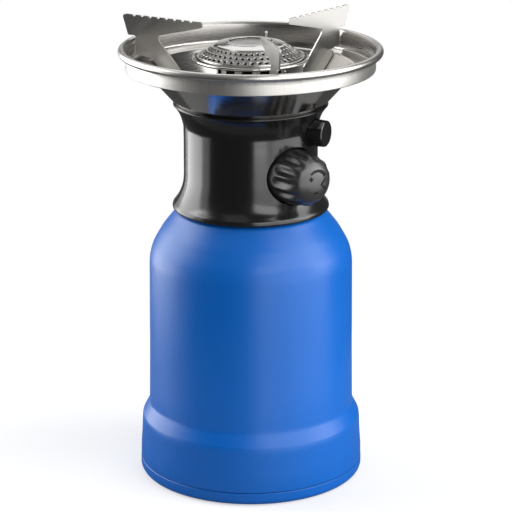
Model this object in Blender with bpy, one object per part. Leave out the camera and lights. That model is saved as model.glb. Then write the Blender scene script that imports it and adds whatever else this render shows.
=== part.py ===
"""Portable gas stove on a pierceable cartridge.

Metres, +Z up. The origin is on the floor, on the stove's own axis, and the
control knob faces -Y. Azimuths are counted from -Y towards +X.

From the floor up: a bayonet base plate, the cartridge housing with its
threaded neck, the cartridge, and the burner head, which screws into the neck
and pierces the cartridge. The head carries the valve, the knob, the igniter,
the bowl, the burner and three pan supports.
"""

import math

import bmesh
import bpy
from mathutils import Matrix, Vector

# Clearances
GAP = 0.0003
OVERRUN = 0.001
RUNNING_GAP = 0.0006
MERGE_SHARE = 0.0001
SHARP_EDGE_ANGLE = math.radians(35.0)

# How finely round pieces are divided
LARGE_SEGMENTS = 36
MEDIUM_SEGMENTS = 24
SMALL_SEGMENTS = 16
TINY_SEGMENTS = 10

# Base plate
BASE_RADIUS = 0.0523
BASE_EDGE_RADIUS = 0.0030
BASE_RIM_HEIGHT = 0.0060
BASE_PAD_RADIUS = 0.0180
BASE_RING_RADIUS = 0.0430
BASE_RECESS = 0.0012
BASE_FLOOR = 0.0022
BASE_SEAT_RISE = 0.0008
BASE_SEAT_WIDTH = 0.0030
SPIGOT_RADIUS = 0.0480
SPIGOT_WALL = 0.0020
SPIGOT_TOP = 0.0185
LUG_COUNT = 3
LUG_DEPTH = 0.0016
LUG_HEIGHT = 0.0030
LUG_HALF_ANGLE = math.radians(9.0)
RIB_COUNT = 6
RIB_WIDTH = 0.0016
RIB_START_RADIUS = 0.0100

# Cartridge housing
HOUSING_WALL = 0.0016
SKIRT_BOTTOM_RADIUS = 0.05215
SKIRT_TOP_RADIUS = 0.0512
SKIRT_HEIGHT = 0.0199
SHOULDER_HEIGHT = 0.0084
BODY_BOTTOM_RADIUS = 0.0478
BODY_TOP_RADIUS = 0.04705
BODY_HEIGHT = 0.0674
DOME_HEIGHT = 0.0252
DOME_TOP_INSET = 0.00225
SHOULDER_SHARES = ((0.22, 0.12), (0.45, 0.41), (0.72, 0.78))
DOME_SHARES = ((0.18, 0.048), (0.36, 0.17), (0.54, 0.352), (0.72, 0.557), (0.87, 0.785))
TAB_HEIGHT = 0.0034
TAB_RISE = 0.0023
TAB_HALF_ANGLE = math.radians(11.0)
NECK_WALL = 0.0019
NECK_LENGTH = 0.0097

# Threaded insert of the neck
INSERT_WALL = 0.0031
INSERT_FLANGE_HEIGHT = 0.0022
INSERT_FLANGE_WIDTH = 0.0020

# Gas cartridge
CARTRIDGE_RADIUS = 0.0448
CARTRIDGE_HEIGHT = 0.0936
CARTRIDGE_WALL = 0.0006
CARTRIDGE_SHOULDER_DROP = 0.0119
CARTRIDGE_FOOT_RADIUS = 0.0418
CARTRIDGE_FOOT_ROUND = 0.0036
CARTRIDGE_DISH = 0.0060
CARTRIDGE_DISH_SHARE = 0.72
CARTRIDGE_SEAT_RADIUS = 0.0105
CARTRIDGE_DOME_SHARES = ((0.0, 1.0), (0.30, 0.93), (0.62, 0.70), (0.85, 0.38))

# Valve body and what screws into it
THREAD_RADIUS = 0.0146
STEM_RADIUS = 0.0130
NOSE_RADIUS = 0.0100
NOSE_HEIGHT = 0.0045
NOSE_RIM = 0.0015
FLANGE_CLEARANCE = 0.0020
FLANGE_THICKNESS = 0.0026
BLOCK_RADIUS = 0.0125
BLOCK_TOP_RISE = 0.0285
SPIGOT_TUBE_RADIUS = 0.0060
SPIGOT_TUBE_HEIGHT = 0.0025
GAS_BORE_RADIUS = 0.0010
BOSS_RADIUS = 0.0065
BOSS_LENGTH = 0.0205
GASKET_THICKNESS = 0.0026
GASKET_INNER_RADIUS = 0.0034
NEEDLE_RADIUS = 0.0016
NEEDLE_REACH = 0.0061
NEEDLE_TIP = 0.0040
NEEDLE_BORE_RADIUS = 0.0005
NEEDLE_SHANK_RADIUS = 0.0030
NEEDLE_SHANK_LENGTH = 0.0060
FILTER_HEIGHT = 0.0022
JET_SHANK_RADIUS = 0.0022
JET_SHANK_LENGTH = 0.0024
JET_HEX_RADIUS = 0.0036
JET_HEX_HEIGHT = 0.0020
JET_TIP_RADIUS = 0.0018
JET_TIP_HEIGHT = 0.0025
JET_BORE_RADIUS = 0.0004

# Screws
SCREW_COUNT = 3
VALVE_SCREW_INSET = 0.0040
VALVE_SCREW_AZIMUTH = math.radians(56.0)
BOWL_SCREW_PLACE_SHARE = 0.38
BOWL_SCREW_AZIMUTH = math.radians(63.0)
SCREW_RADIUS = 0.0015
SCREW_HEAD_RADIUS = 0.0029
SCREW_HEAD_HEIGHT = 0.0018
SCREW_LENGTH = 0.0056

# Collar
COLLAR_WAIST_INSET = 0.0014
COLLAR_FOOT_WIDTH = 0.00535
COLLAR_LIP_WIDTH = 0.0033
COLLAR_FOOT_HEIGHT = 0.0165
COLLAR_FLARE_HEIGHT = 0.0110
COLLAR_WALL = 0.0017
COLLAR_TOP_BORE_INSET = 0.0010
COLLAR_BORE_FLARE = 0.0068
COLLAR_WEB_RISE = 0.0468
COLLAR_WEB = 0.0025
COLLAR_SHELF = 0.0030
COLLAR_SHELF_RISE = 0.0018
COLLAR_FOOT_SHARES = (
    (0.0, 0.73), (0.05, 0.98), (0.15, 0.955), (0.34, 0.55), (0.52, 0.28), (0.76, 0.07),
)
COLLAR_FLARE_SHARES = ((0.36, 0.09), (0.60, 0.27), (0.86, 0.57))
LIP_HEIGHT = 0.0036
LIP_SHARES = ((0.12, 0.80), (0.50, 1.0), (0.82, 0.985))

# Control knob and spindle, along the knob's axis from the stove's axis
KNOB_RISE = 0.0209
KNOB_RADIUS = 0.0124
KNOB_BACK = 0.0240
KNOB_LENGTH = 0.0240
KNOB_FLUTE_COUNT = 14
KNOB_FLUTE_DEPTH = 0.0011
KNOB_HOLE_RADIUS = 0.0133
KNOB_CAVITY_RADIUS = 0.0080
KNOB_CAVITY_DEPTH = 0.0068
KNOB_SHARES = (
    (0.0, 0.93, 0.0), (0.05, 1.0, 0.0), (0.24, 1.0, 0.0), (0.33, 1.0, 1.0),
    (0.52, 1.0, 1.0), (0.66, 0.965, 1.0), (0.77, 0.89, 0.9), (0.85, 0.79, 0.55),
    (0.90, 0.70, 0.0), (0.955, 0.50, 0.0), (0.985, 0.30, 0.0),
)
SPINDLE_RADIUS = 0.0020
SPINDLE_START = 0.0030
SPINDLE_CONE = 0.0022
SPINDLE_TIP_RADIUS = 0.0006
SPINDLE_FLAT = 0.0013
SPINDLE_FLAT_RUN = 0.0005
SPINDLE_END = 0.0380
SPINDLE_TRAVEL = 0.00075
PACKING_RADIUS = 0.0040
PACKING_START = 0.0140
O_RING_LENGTH = 0.0015
GLAND_RADIUS = 0.0060
GLAND_HEAD = 0.0034
GLAND_SIDES = 6

# Igniter, along its own axis from the stove's axis
BUTTON_AZIMUTH = math.radians(25.0)
BUTTON_RISE = 0.0386
BUTTON_RADIUS = 0.0062
BUTTON_TAPER = 0.0002
BUTTON_BORE_RADIUS = 0.0046
BUTTON_FACE = 0.0015
BUTTON_FACE_AT = 0.0380
BUTTON_LENGTH = 0.0094
BUTTON_TRAVEL = 0.0035
IGNITER_START = 0.0130
IGNITER_NOSE_RADIUS = 0.0030
IGNITER_NOSE_END = 0.0300
IGNITER_TERMINAL_RADIUS = 0.0013
IGNITER_TERMINAL_LENGTH = 0.0008
SLEEVE_WALL = 0.0011
SLEEVE_START = 0.0160
SPRING_RADIUS = 0.0039
SPRING_WIRE_RADIUS = 0.00035
SPRING_TURNS = 7
SPRING_STEPS = 9
LEAD_RADIUS = 0.0008
LEAD_DROP = 0.0028

# Electrode
ELECTRODE_INSET = 0.0042
ELECTRODE_AZIMUTH = math.radians(126.0)
ELECTRODE_RADIUS = 0.00065
ELECTRODE_FOOT = 0.0036
ELECTRODE_LENGTH = 0.0360
INSULATOR_WALL = 0.00135
INSULATOR_LENGTH = 0.0176
INSULATOR_TAIL = 0.0018
INSULATOR_COLLAR_RADIUS = 0.00255
INSULATOR_COLLAR_HEIGHT = 0.0010
CLIP_RADIUS = 0.0033
CLIP_HEIGHT = 0.0007

# Bowl
BOWL_WALL = 0.0006
BOWL_FOOT_RADIUS = 0.0321
BOWL_CONE_TOP_RADIUS = 0.04824
BOWL_CONE_HEIGHT = 0.0180
BAND_BOTTOM_RADIUS = 0.05675
BAND_HEIGHT = 0.00843
BEAD_OVERHANG = 0.00173
BEAD_RADIUS = 0.0017
BOWL_SHOULDER_WIDTH = 0.0012
BOWL_FILLET = 0.0015
TUBE_HOLE_CLEARANCE = 0.0014

# Burner
TUBE_RADIUS = 0.0070
TUBE_TOP_RISE = 0.0176
TUBE_WALL = 0.0007
PORT_COUNT = 4
PORT_WIDTH = 0.0050
PORT_HEIGHT = 0.0055
PORT_RISE = 0.0070
NUT_RADIUS = 0.0105
NUT_HEIGHT = 0.0030
SUPPORT_RADIUS = 0.0158
SUPPORT_WALL = 0.0006
SUPPORT_HEIGHT = 0.0213
SUPPORT_FOOT_WIDTH = 0.0032
WINDOW_COUNT = 12
WINDOW_WIDTH = 0.0046
WINDOW_HEIGHT = 0.0050
WINDOW_MARGIN = 0.0008
PAN_WALL = 0.0006
PAN_HUB_LENGTH = 0.0124
PAN_SPARK_GAP = 0.00105
PAN_ROLL_RADIUS = 0.0010
CROWN_WALL = 0.0006
CROWN_EDGE_INSET = 0.0013
CROWN_RUN = 0.0073
CROWN_HEIGHT = 0.0046
CROWN_RIM_HEIGHT = 0.0008
CROWN_SHOULDER = 0.0011
CROWN_RING_SHARE = 0.6325
CROWN_RING_WIDTH = 0.0008
CROWN_RING_HEIGHT = 0.0004
CROWN_ROWS = 3
CROWN_HOLES = 44
HOLE_WIDTH = 0.0013
HOLE_CORNER_SHARE = 0.7
CROWN_BAND_SHARES = ((0.07, 0.33), (0.37, 0.63), (0.67, 0.93))

# Pan supports
SUPPORT_COUNT = 3
SUPPORT_AZIMUTH = math.radians(-27.0)
BLADE_THICKNESS = 0.0009
BLADE_TIP_RADIUS = 0.0230
BLADE_END_RADIUS = 0.0620
BLADE_RISE = 0.0113
BLADE_TILT = 0.0018
BLADE_OUTER_DROP = 0.0098
BLADE_UNDERCUT_RADIUS = 0.0593
BLADE_ROUND = 0.0011
BLADE_ROUND_END_SHARE = 1.5
BLADE_TIP_DEPTH = 0.0026
BLADE_STEM_CLEARANCE = 0.00055
BLADE_LEG_RADIUS = 0.0443
BLADE_LEG_TOP_DROP = 0.0090
BLADE_LEG_END_WIDTH = 0.0006
BLADE_LEG_END_HEIGHT = 0.0110
BLADE_FOOT_LIFT = 0.0018
BLADE_STEM_FOOT_SHARE = 1.7
SCALLOP_COUNT = 9
SCALLOP_DEPTH = 0.0006
SCALLOP_WIDTH = 0.0010
FOOT_WIDTH = 0.0050
FOOT_TOP_INSET = 0.00064
FOOT_END_SHARE = 0.8
FOOT_END_STEPS = 6

# Heights that follow from the sizes above
HOUSING_BOTTOM = BASE_RIM_HEIGHT + GAP
SKIRT_TOP = HOUSING_BOTTOM + SKIRT_HEIGHT
SHOULDER_TOP = SKIRT_TOP + SHOULDER_HEIGHT
DOME_BOTTOM = SHOULDER_TOP + BODY_HEIGHT
HOUSING_TOP = DOME_BOTTOM + DOME_HEIGHT
FLOOR_TOP = BASE_RECESS + BASE_FLOOR
SEAT_TOP = FLOOR_TOP + BASE_SEAT_RISE
CARTRIDGE_BOTTOM = SEAT_TOP + GAP
CARTRIDGE_TOP = CARTRIDGE_BOTTOM + CARTRIDGE_HEIGHT
COLLAR_BOTTOM = HOUSING_TOP + GAP
SHELF_TOP = COLLAR_BOTTOM + COLLAR_SHELF_RISE + COLLAR_SHELF
FLANGE_BOTTOM = SHELF_TOP + GAP
FLANGE_TOP = FLANGE_BOTTOM + FLANGE_THICKNESS
BLOCK_TOP = COLLAR_BOTTOM + BLOCK_TOP_RISE
KNOB_HEIGHT = COLLAR_BOTTOM + KNOB_RISE
BUTTON_HEIGHT = COLLAR_BOTTOM + BUTTON_RISE
WEB_TOP = COLLAR_BOTTOM + COLLAR_WEB_RISE
WEB_BOTTOM = WEB_TOP - COLLAR_WEB
BOWL_BOTTOM = WEB_TOP + GAP
BOWL_FLOOR = BOWL_BOTTOM + BOWL_WALL
BAND_BOTTOM = BOWL_BOTTOM + BOWL_CONE_HEIGHT
BEAD_HEIGHT = BAND_BOTTOM + BAND_HEIGHT
BEAD_TOP = BEAD_HEIGHT + BEAD_RADIUS
SUPPORT_BOTTOM = BOWL_FLOOR + GAP
SUPPORT_TOP = SUPPORT_BOTTOM + SUPPORT_HEIGHT
PAN_BOTTOM = SUPPORT_TOP + GAP
PAN_FLOOR = PAN_BOTTOM + PAN_WALL
CROWN_BOTTOM = PAN_FLOOR + GAP
NOSE_BOTTOM = CARTRIDGE_TOP + GAP + GASKET_THICKNESS + GAP - NOSE_RIM
GASKET_SEAT = NOSE_BOTTOM + NOSE_RIM
NECK_BOTTOM = HOUSING_TOP - NECK_LENGTH
INSERT_RADIUS = THREAD_RADIUS + GAP + INSERT_WALL
NECK_RADIUS = INSERT_RADIUS + GAP
SLEEVE_BORE = BUTTON_RADIUS + GAP
IGNITER_END = BUTTON_FACE_AT - BUTTON_LENGTH - BUTTON_TRAVEL - RUNNING_GAP
CONE_SLOPE = BOWL_CONE_HEIGHT / (BOWL_CONE_TOP_RADIUS - BOWL_FOOT_RADIUS)
CONE_ANGLE = math.atan(CONE_SLOPE)

# Radii that follow from the sizes above
COLLAR_WAIST_RADIUS = BOWL_FOOT_RADIUS - COLLAR_WAIST_INSET
COLLAR_FOOT_RADIUS = COLLAR_WAIST_RADIUS + COLLAR_FOOT_WIDTH
COLLAR_LIP_RADIUS = BOWL_FOOT_RADIUS + COLLAR_LIP_WIDTH
COLLAR_TOP_BORE_RADIUS = BOWL_FOOT_RADIUS - COLLAR_TOP_BORE_INSET
COLLAR_BORE_RADIUS = COLLAR_WAIST_RADIUS - COLLAR_WALL
DOME_TOP_RADIUS = COLLAR_FOOT_RADIUS - DOME_TOP_INSET
FLANGE_RADIUS = COLLAR_BORE_RADIUS - FLANGE_CLEARANCE
VALVE_SCREW_RADIUS = FLANGE_RADIUS - VALVE_SCREW_INSET
SUPPORT_FOOT_RADIUS = SUPPORT_RADIUS + SUPPORT_FOOT_WIDTH
BOWL_SCREW_ROOM = BOWL_FOOT_RADIUS - SUPPORT_FOOT_RADIUS
BOWL_SCREW_RADIUS = SUPPORT_FOOT_RADIUS + BOWL_SCREW_ROOM * BOWL_SCREW_PLACE_SHARE
ELECTRODE_PLACE_RADIUS = BOWL_FOOT_RADIUS - ELECTRODE_INSET
PAN_EDGE_RADIUS = ELECTRODE_PLACE_RADIUS - ELECTRODE_RADIUS - PAN_SPARK_GAP
PAN_ROLL_PLACE_RADIUS = PAN_EDGE_RADIUS - PAN_ROLL_RADIUS
CROWN_BOTTOM_RADIUS = PAN_ROLL_PLACE_RADIUS - CROWN_EDGE_INSET
CROWN_TOP_RADIUS = CROWN_BOTTOM_RADIUS - CROWN_RUN
CROWN_RING_RADIUS = CROWN_TOP_RADIUS * CROWN_RING_SHARE
BEAD_PLACE_RADIUS = BAND_BOTTOM_RADIUS + BEAD_OVERHANG
BLADE_LEG_END_RADIUS = BOWL_FOOT_RADIUS + BLADE_LEG_END_WIDTH
FOOT_TOP_RADIUS = BOWL_CONE_TOP_RADIUS - FOOT_TOP_INSET

# Where the spindle's flat starts, clear of the knob's bore when the valve is open
KNOB_BORE_START = KNOB_BACK + KNOB_CAVITY_DEPTH
SPINDLE_FLAT_START = KNOB_BORE_START - SPINDLE_TRAVEL - SPINDLE_FLAT_RUN - GAP


def material(name, colour, roughness, metallic):
    """A Principled material."""
    made = bpy.data.materials.get(name) or bpy.data.materials.new(name)
    made.use_nodes = True
    shader = made.node_tree.nodes["Principled BSDF"]
    shader.inputs["Base Color"].default_value = (*colour, 1.0)
    shader.inputs["Roughness"].default_value = roughness
    shader.inputs["Metallic"].default_value = metallic
    return made


def blue_plastic():
    return material("blue_satin", (0.012, 0.13, 0.62), 0.45, 0.0)


def black_plastic():
    return material("black_gloss", (0.012, 0.012, 0.012), 0.18, 0.0)


def stainless():
    return material("stainless_steel", (0.62, 0.60, 0.57), 0.28, 1.0)


def brass():
    return material("brass", (0.72, 0.52, 0.22), 0.30, 1.0)


def cast_alloy():
    return material("cast_alloy", (0.50, 0.50, 0.51), 0.42, 1.0)


def rubber():
    return material("black_rubber", (0.02, 0.02, 0.02), 0.75, 0.0)


def ceramic():
    return material("white_ceramic", (0.80, 0.77, 0.70), 0.30, 0.0)


def empty(name, height, rotation):
    """A frame that a moving group hangs on, on its joint's axis."""
    frame = bpy.data.objects.new(name, None)
    bpy.context.collection.objects.link(frame)
    frame.location = (0.0, 0.0, height)
    frame.rotation_euler = rotation
    return frame


def finish(name, bm, surface, parent):
    """Turn a bmesh into a smooth-shaded object in its parent's frame."""
    bmesh.ops.remove_doubles(bm, verts=bm.verts, dist=OVERRUN * MERGE_SHARE)
    bmesh.ops.recalc_face_normals(bm, faces=bm.faces)
    mesh = bpy.data.meshes.new(name)
    bm.to_mesh(mesh)
    bm.free()
    mesh.shade_smooth()
    mesh.set_sharp_from_angle(angle=SHARP_EDGE_ANGLE)
    made = bpy.data.objects.new(name, mesh)
    bpy.context.collection.objects.link(made)
    if surface:
        made.data.materials.append(surface)
    made.parent = parent
    return made


def as_cutter(piece):
    """A cutter or a filler, which isn't a piece of its own."""
    piece.hide_render = True
    piece.display_type = "WIRE"
    return piece


def combine(piece, other, operation):
    """Cut another solid from a piece, or join it on."""
    as_cutter(other)
    step = piece.modifiers.new(operation.lower(), "BOOLEAN")
    step.operation = operation
    step.solver = "EXACT"
    step.object = other


def cut(piece, other):
    combine(piece, other, "DIFFERENCE")


def join(piece, other):
    combine(piece, other, "UNION")


def polar(radius, azimuth, height):
    """A point at an azimuth counted from -Y towards +X."""
    return Vector((radius * math.sin(azimuth), -radius * math.cos(azimuth), height))


def arc(centre, radius, start, end, steps):
    """Points (radius, height) of an arc, angles in degrees from the +radius side."""
    points = []
    for step in range(steps + 1):
        angle = math.radians(start + (end - start) * step / steps)
        points.append((
            centre[0] + radius * math.cos(angle),
            centre[1] + radius * math.sin(angle),
        ))
    return points


def between(start, end, shares):
    """Points from start to end; each share pair is (of the height, of the radius)."""
    points = []
    for up, out in shares:
        points.append((
            start[0] + (end[0] - start[0]) * out,
            start[1] + (end[1] - start[1]) * up,
        ))
    return points


def add_turned(bm, outline, segments, centre=(0.0, 0.0)):
    """Add a closed outline (radius, height) turned about the local Z axis."""
    rings = []
    for radius, height in outline:
        if radius == 0.0:
            rings.append([bm.verts.new((*centre, height))])
            continue
        ring = []
        for step in range(segments):
            angle = math.tau * step / segments
            ring.append(bm.verts.new((
                centre[0] + radius * math.cos(angle),
                centre[1] + radius * math.sin(angle),
                height,
            )))
        rings.append(ring)
    for ring, following in zip(rings, rings[1:] + rings[:1]):
        bridge(bm, ring, following)


def bridge(bm, ring, following):
    """Faces between two rings, either of which may be a single pole."""
    if len(ring) == 1 and len(following) == 1:
        return
    count = max(len(ring), len(following))
    for step in range(count):
        after = (step + 1) % count
        if len(ring) == 1:
            corners = (ring[0], following[step], following[after])
        elif len(following) == 1:
            corners = (ring[step], ring[after], following[0])
        else:
            corners = (ring[step], ring[after], following[after], following[step])
        bm.faces.new(corners)


def turned(name, outline, surface, parent, segments):
    """A piece turned about its frame's Z axis."""
    bm = bmesh.new()
    add_turned(bm, outline, segments)
    return finish(name, bm, surface, parent)


def rod_outline(radius, bottom, top):
    """The outline of a plain solid rod."""
    return [(0.0, bottom), (radius, bottom), (radius, top), (0.0, top)]


def rod(name, radius, bottom, top, surface, parent, segments):
    """A plain rod on its frame's Z axis."""
    return turned(name, rod_outline(radius, bottom, top), surface, parent, segments)


def ring_outline(inner, outer, bottom, top):
    """The outline of a plain ring or tube."""
    return [(inner, bottom), (outer, bottom), (outer, top), (inner, top)]


def add_prism(bm, outline, frame, depth):
    """Add a flat outline (x, y) of a frame, thickened by depth along its Z."""
    lower = [bm.verts.new(frame @ Vector((x, y, 0.0))) for x, y in outline]
    upper = [bm.verts.new(frame @ Vector((x, y, depth))) for x, y in outline]
    bm.faces.new(lower)
    bm.faces.new(upper)
    bridge(bm, lower, upper)


def add_sector(bm, inner, outer, bottom, top, azimuth, half_angle, steps):
    """Add a piece of a ring about the Z axis."""
    outline = []
    for step in range(steps + 1):
        angle = azimuth - half_angle + 2 * half_angle * step / steps
        outline.append(polar(outer, angle, bottom).xy)
    for step in range(steps + 1):
        angle = azimuth + half_angle - 2 * half_angle * step / steps
        outline.append(polar(inner, angle, bottom).xy)
    add_prism(bm, outline, Matrix.Translation((0.0, 0.0, bottom)), top - bottom)


def radial_frame(azimuth, radius, height):
    """A frame whose X points outward and whose Y points up."""
    outward = polar(1.0, azimuth, 0.0)
    up = Vector((0.0, 0.0, 1.0))
    side = outward.cross(up)
    frame = Matrix((outward, up, side)).transposed().to_4x4()
    frame.translation = polar(radius, azimuth, height)
    return frame


def add_block(bm, azimuth, inner, outer, half_width, bottom, top):
    """Add a block that reaches outward from inner to outer at an azimuth."""
    frame = radial_frame(azimuth, 0.0, 0.0)
    frame.translation = -half_width * frame.to_3x3().col[2]
    outline = [(inner, bottom), (outer, bottom), (outer, top), (inner, top)]
    add_prism(bm, outline, frame, 2 * half_width)


def around(count, start):
    """Equally spaced azimuths."""
    return [start + math.tau * step / count for step in range(count)]


def cone_height(radius, lift=0.0):
    """Height of the bowl's outer cone at a radius, lifted square to the cone."""
    rise = (radius - BOWL_FOOT_RADIUS) * CONE_SLOPE
    return BOWL_BOTTOM + rise + lift / math.cos(CONE_ANGLE)


def cone_radius(height, lift=0.0):
    """Radius at which the lifted cone reaches a height."""
    rise = height - BOWL_BOTTOM - lift / math.cos(CONE_ANGLE)
    return BOWL_FOOT_RADIUS + rise / CONE_SLOPE


def base_plate():
    """Moulded bottom: rim, ring foot, centre pad, spigot with bayonet lugs."""
    spigot_bore = SPIGOT_RADIUS - SPIGOT_WALL
    seat_inner = CARTRIDGE_FOOT_RADIUS - BASE_SEAT_WIDTH / 2
    seat_outer = CARTRIDGE_FOOT_RADIUS + BASE_SEAT_WIDTH / 2
    outline = [
        (0.0, 0.0),
        (BASE_PAD_RADIUS, 0.0),
        (BASE_PAD_RADIUS + BASE_RECESS, BASE_RECESS),
        (BASE_RING_RADIUS - BASE_RECESS, BASE_RECESS),
        (BASE_RING_RADIUS, 0.0),
    ]
    edge_centre = (BASE_RADIUS - BASE_EDGE_RADIUS, BASE_EDGE_RADIUS)
    outline += arc(edge_centre, BASE_EDGE_RADIUS, -90.0, 0.0, 5)
    outline += [
        (SKIRT_BOTTOM_RADIUS, BASE_RIM_HEIGHT),
        (SPIGOT_RADIUS, BASE_RIM_HEIGHT),
        (SPIGOT_RADIUS, SPIGOT_TOP),
        (spigot_bore, SPIGOT_TOP),
        (spigot_bore, FLOOR_TOP),
        (seat_outer, FLOOR_TOP),
        (seat_outer, SEAT_TOP),
        (seat_inner, SEAT_TOP),
        (seat_inner, FLOOR_TOP),
        (0.0, FLOOR_TOP),
    ]
    base = turned("base_plate", outline, blue_plastic(), None, LARGE_SEGMENTS)
    lug_bottom = HOUSING_BOTTOM + TAB_RISE + TAB_HEIGHT + GAP
    extra = bmesh.new()
    for azimuth in around(LUG_COUNT, 0.0):
        add_sector(
            extra, SPIGOT_RADIUS - SPIGOT_WALL / 2, SPIGOT_RADIUS + LUG_DEPTH,
            lug_bottom, lug_bottom + LUG_HEIGHT, azimuth, LUG_HALF_ANGLE, 3,
        )
    for azimuth in around(RIB_COUNT, 0.0):
        add_block(
            extra, azimuth, RIB_START_RADIUS, CARTRIDGE_FOOT_RADIUS, RIB_WIDTH / 2,
            FLOOR_TOP - BASE_FLOOR / 2, SEAT_TOP - BASE_SEAT_RISE / 2,
        )
    join(base, finish("base_lugs_and_ribs", extra, None, None))


def housing_side(inset, every):
    """The housing's side from its bottom edge to the top of its dome."""
    skirt_bottom = (SKIRT_BOTTOM_RADIUS - inset, HOUSING_BOTTOM)
    skirt_top = (SKIRT_TOP_RADIUS - inset, SKIRT_TOP - inset / 2)
    body_bottom = (BODY_BOTTOM_RADIUS - inset, SHOULDER_TOP - inset / 2)
    body_top = (BODY_TOP_RADIUS - inset, DOME_BOTTOM)
    dome_top = (DOME_TOP_RADIUS - inset / 2, HOUSING_TOP - inset)
    side = [skirt_bottom, skirt_top]
    side += between(skirt_top, body_bottom, SHOULDER_SHARES[::every])
    side += [body_bottom, body_top]
    side += between(body_top, dome_top, DOME_SHARES[::every])
    side.append(dome_top)
    return side


def cartridge_housing(frame):
    """Drawn shell with its skirt, dome and neck, and three bayonet tabs."""
    neck_outer = NECK_RADIUS + NECK_WALL
    outline = housing_side(0.0, 1)
    outline += [
        (NECK_RADIUS, HOUSING_TOP),
        (NECK_RADIUS, NECK_BOTTOM),
        (neck_outer, NECK_BOTTOM),
        (neck_outer, HOUSING_TOP - HOUSING_WALL),
    ]
    outline += reversed(housing_side(HOUSING_WALL, 2))
    shell = turned("cartridge_housing", outline, blue_plastic(), frame, LARGE_SEGMENTS)
    tab_bottom = HOUSING_BOTTOM + TAB_RISE
    tabs = bmesh.new()
    for azimuth in around(LUG_COUNT, 0.0):
        add_sector(
            tabs, SPIGOT_RADIUS + GAP, SKIRT_TOP_RADIUS - HOUSING_WALL / 2,
            tab_bottom, tab_bottom + TAB_HEIGHT, azimuth, TAB_HALF_ANGLE, 4,
        )
    join(shell, finish("bayonet_tabs", tabs, None, frame))


def neck_insert(frame):
    """Threaded ring pressed into the neck from below."""
    bore = THREAD_RADIUS + GAP
    flange_top = NECK_BOTTOM - GAP
    outline = [
        (bore, flange_top - INSERT_FLANGE_HEIGHT),
        (INSERT_RADIUS + INSERT_FLANGE_WIDTH, flange_top - INSERT_FLANGE_HEIGHT),
        (INSERT_RADIUS + INSERT_FLANGE_WIDTH, flange_top),
        (INSERT_RADIUS, flange_top),
        (INSERT_RADIUS, HOUSING_TOP),
        (bore, HOUSING_TOP),
    ]
    turned("neck_insert", outline, cast_alloy(), frame, LARGE_SEGMENTS)


def cartridge_side(inset):
    """The can from the middle of its dished bottom to the edge of its seat."""
    radius = CARTRIDGE_RADIUS - inset
    bottom = CARTRIDGE_BOTTOM + inset
    shoulder = CARTRIDGE_TOP - CARTRIDGE_SHOULDER_DROP
    foot = CARTRIDGE_FOOT_RADIUS - inset / 2
    seat = (CARTRIDGE_SEAT_RADIUS, CARTRIDGE_TOP - inset)
    side = [(0.0, bottom + CARTRIDGE_DISH), (foot / 2, bottom + CARTRIDGE_DISH * CARTRIDGE_DISH_SHARE)]
    side += [(foot - CARTRIDGE_FOOT_ROUND / 2, bottom + CARTRIDGE_FOOT_ROUND / 4)]
    side += [(foot, bottom), (radius, bottom + CARTRIDGE_FOOT_ROUND)]
    for up, out in CARTRIDGE_DOME_SHARES:
        side.append((
            seat[0] + (radius - seat[0]) * out,
            shoulder + (seat[1] - shoulder) * up,
        ))
    side.append(seat)
    return side


def gas_cartridge(frame):
    """The can that stands on the base plate, with its pierced seat."""
    hole = NEEDLE_RADIUS + GAP
    outline = cartridge_side(0.0)
    outline += [(hole, CARTRIDGE_TOP), (hole, CARTRIDGE_TOP - CARTRIDGE_WALL)]
    outline += reversed(cartridge_side(CARTRIDGE_WALL))
    can = turned("gas_cartridge", outline, stainless(), frame, MEDIUM_SEGMENTS)
    can.data.materials[0] = material("painted_can", (0.70, 0.71, 0.72), 0.35, 0.6)


def collar_outside():
    """The collar's outer side from its foot to its lip."""
    foot = (COLLAR_WAIST_RADIUS, COLLAR_BOTTOM)
    foot_wide = (COLLAR_FOOT_RADIUS, COLLAR_BOTTOM + COLLAR_FOOT_HEIGHT)
    waist_low = (COLLAR_WAIST_RADIUS, COLLAR_BOTTOM + COLLAR_FOOT_HEIGHT)
    lip_bottom = seat_point(COLLAR_LIP_RADIUS)[1] - LIP_HEIGHT
    waist_high = (COLLAR_WAIST_RADIUS, lip_bottom - COLLAR_FLARE_HEIGHT)
    lip = (COLLAR_LIP_RADIUS, seat_point(COLLAR_LIP_RADIUS)[1])
    side = between(foot, foot_wide, COLLAR_FOOT_SHARES)
    side += [waist_low, waist_high]
    side += between(waist_high, (lip[0], lip_bottom), COLLAR_FLARE_SHARES)
    flare_share = COLLAR_FLARE_SHARES[-1][1]
    flare_end = (waist_high[0] + (lip[0] - waist_high[0]) * flare_share, lip_bottom)
    side += between((waist_high[0], flare_end[1]), lip, LIP_SHARES)
    return side


def seat_point(radius):
    """A point of the collar's conical seat, just under the bowl's cone."""
    return (radius, cone_height(radius, -GAP))


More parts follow.
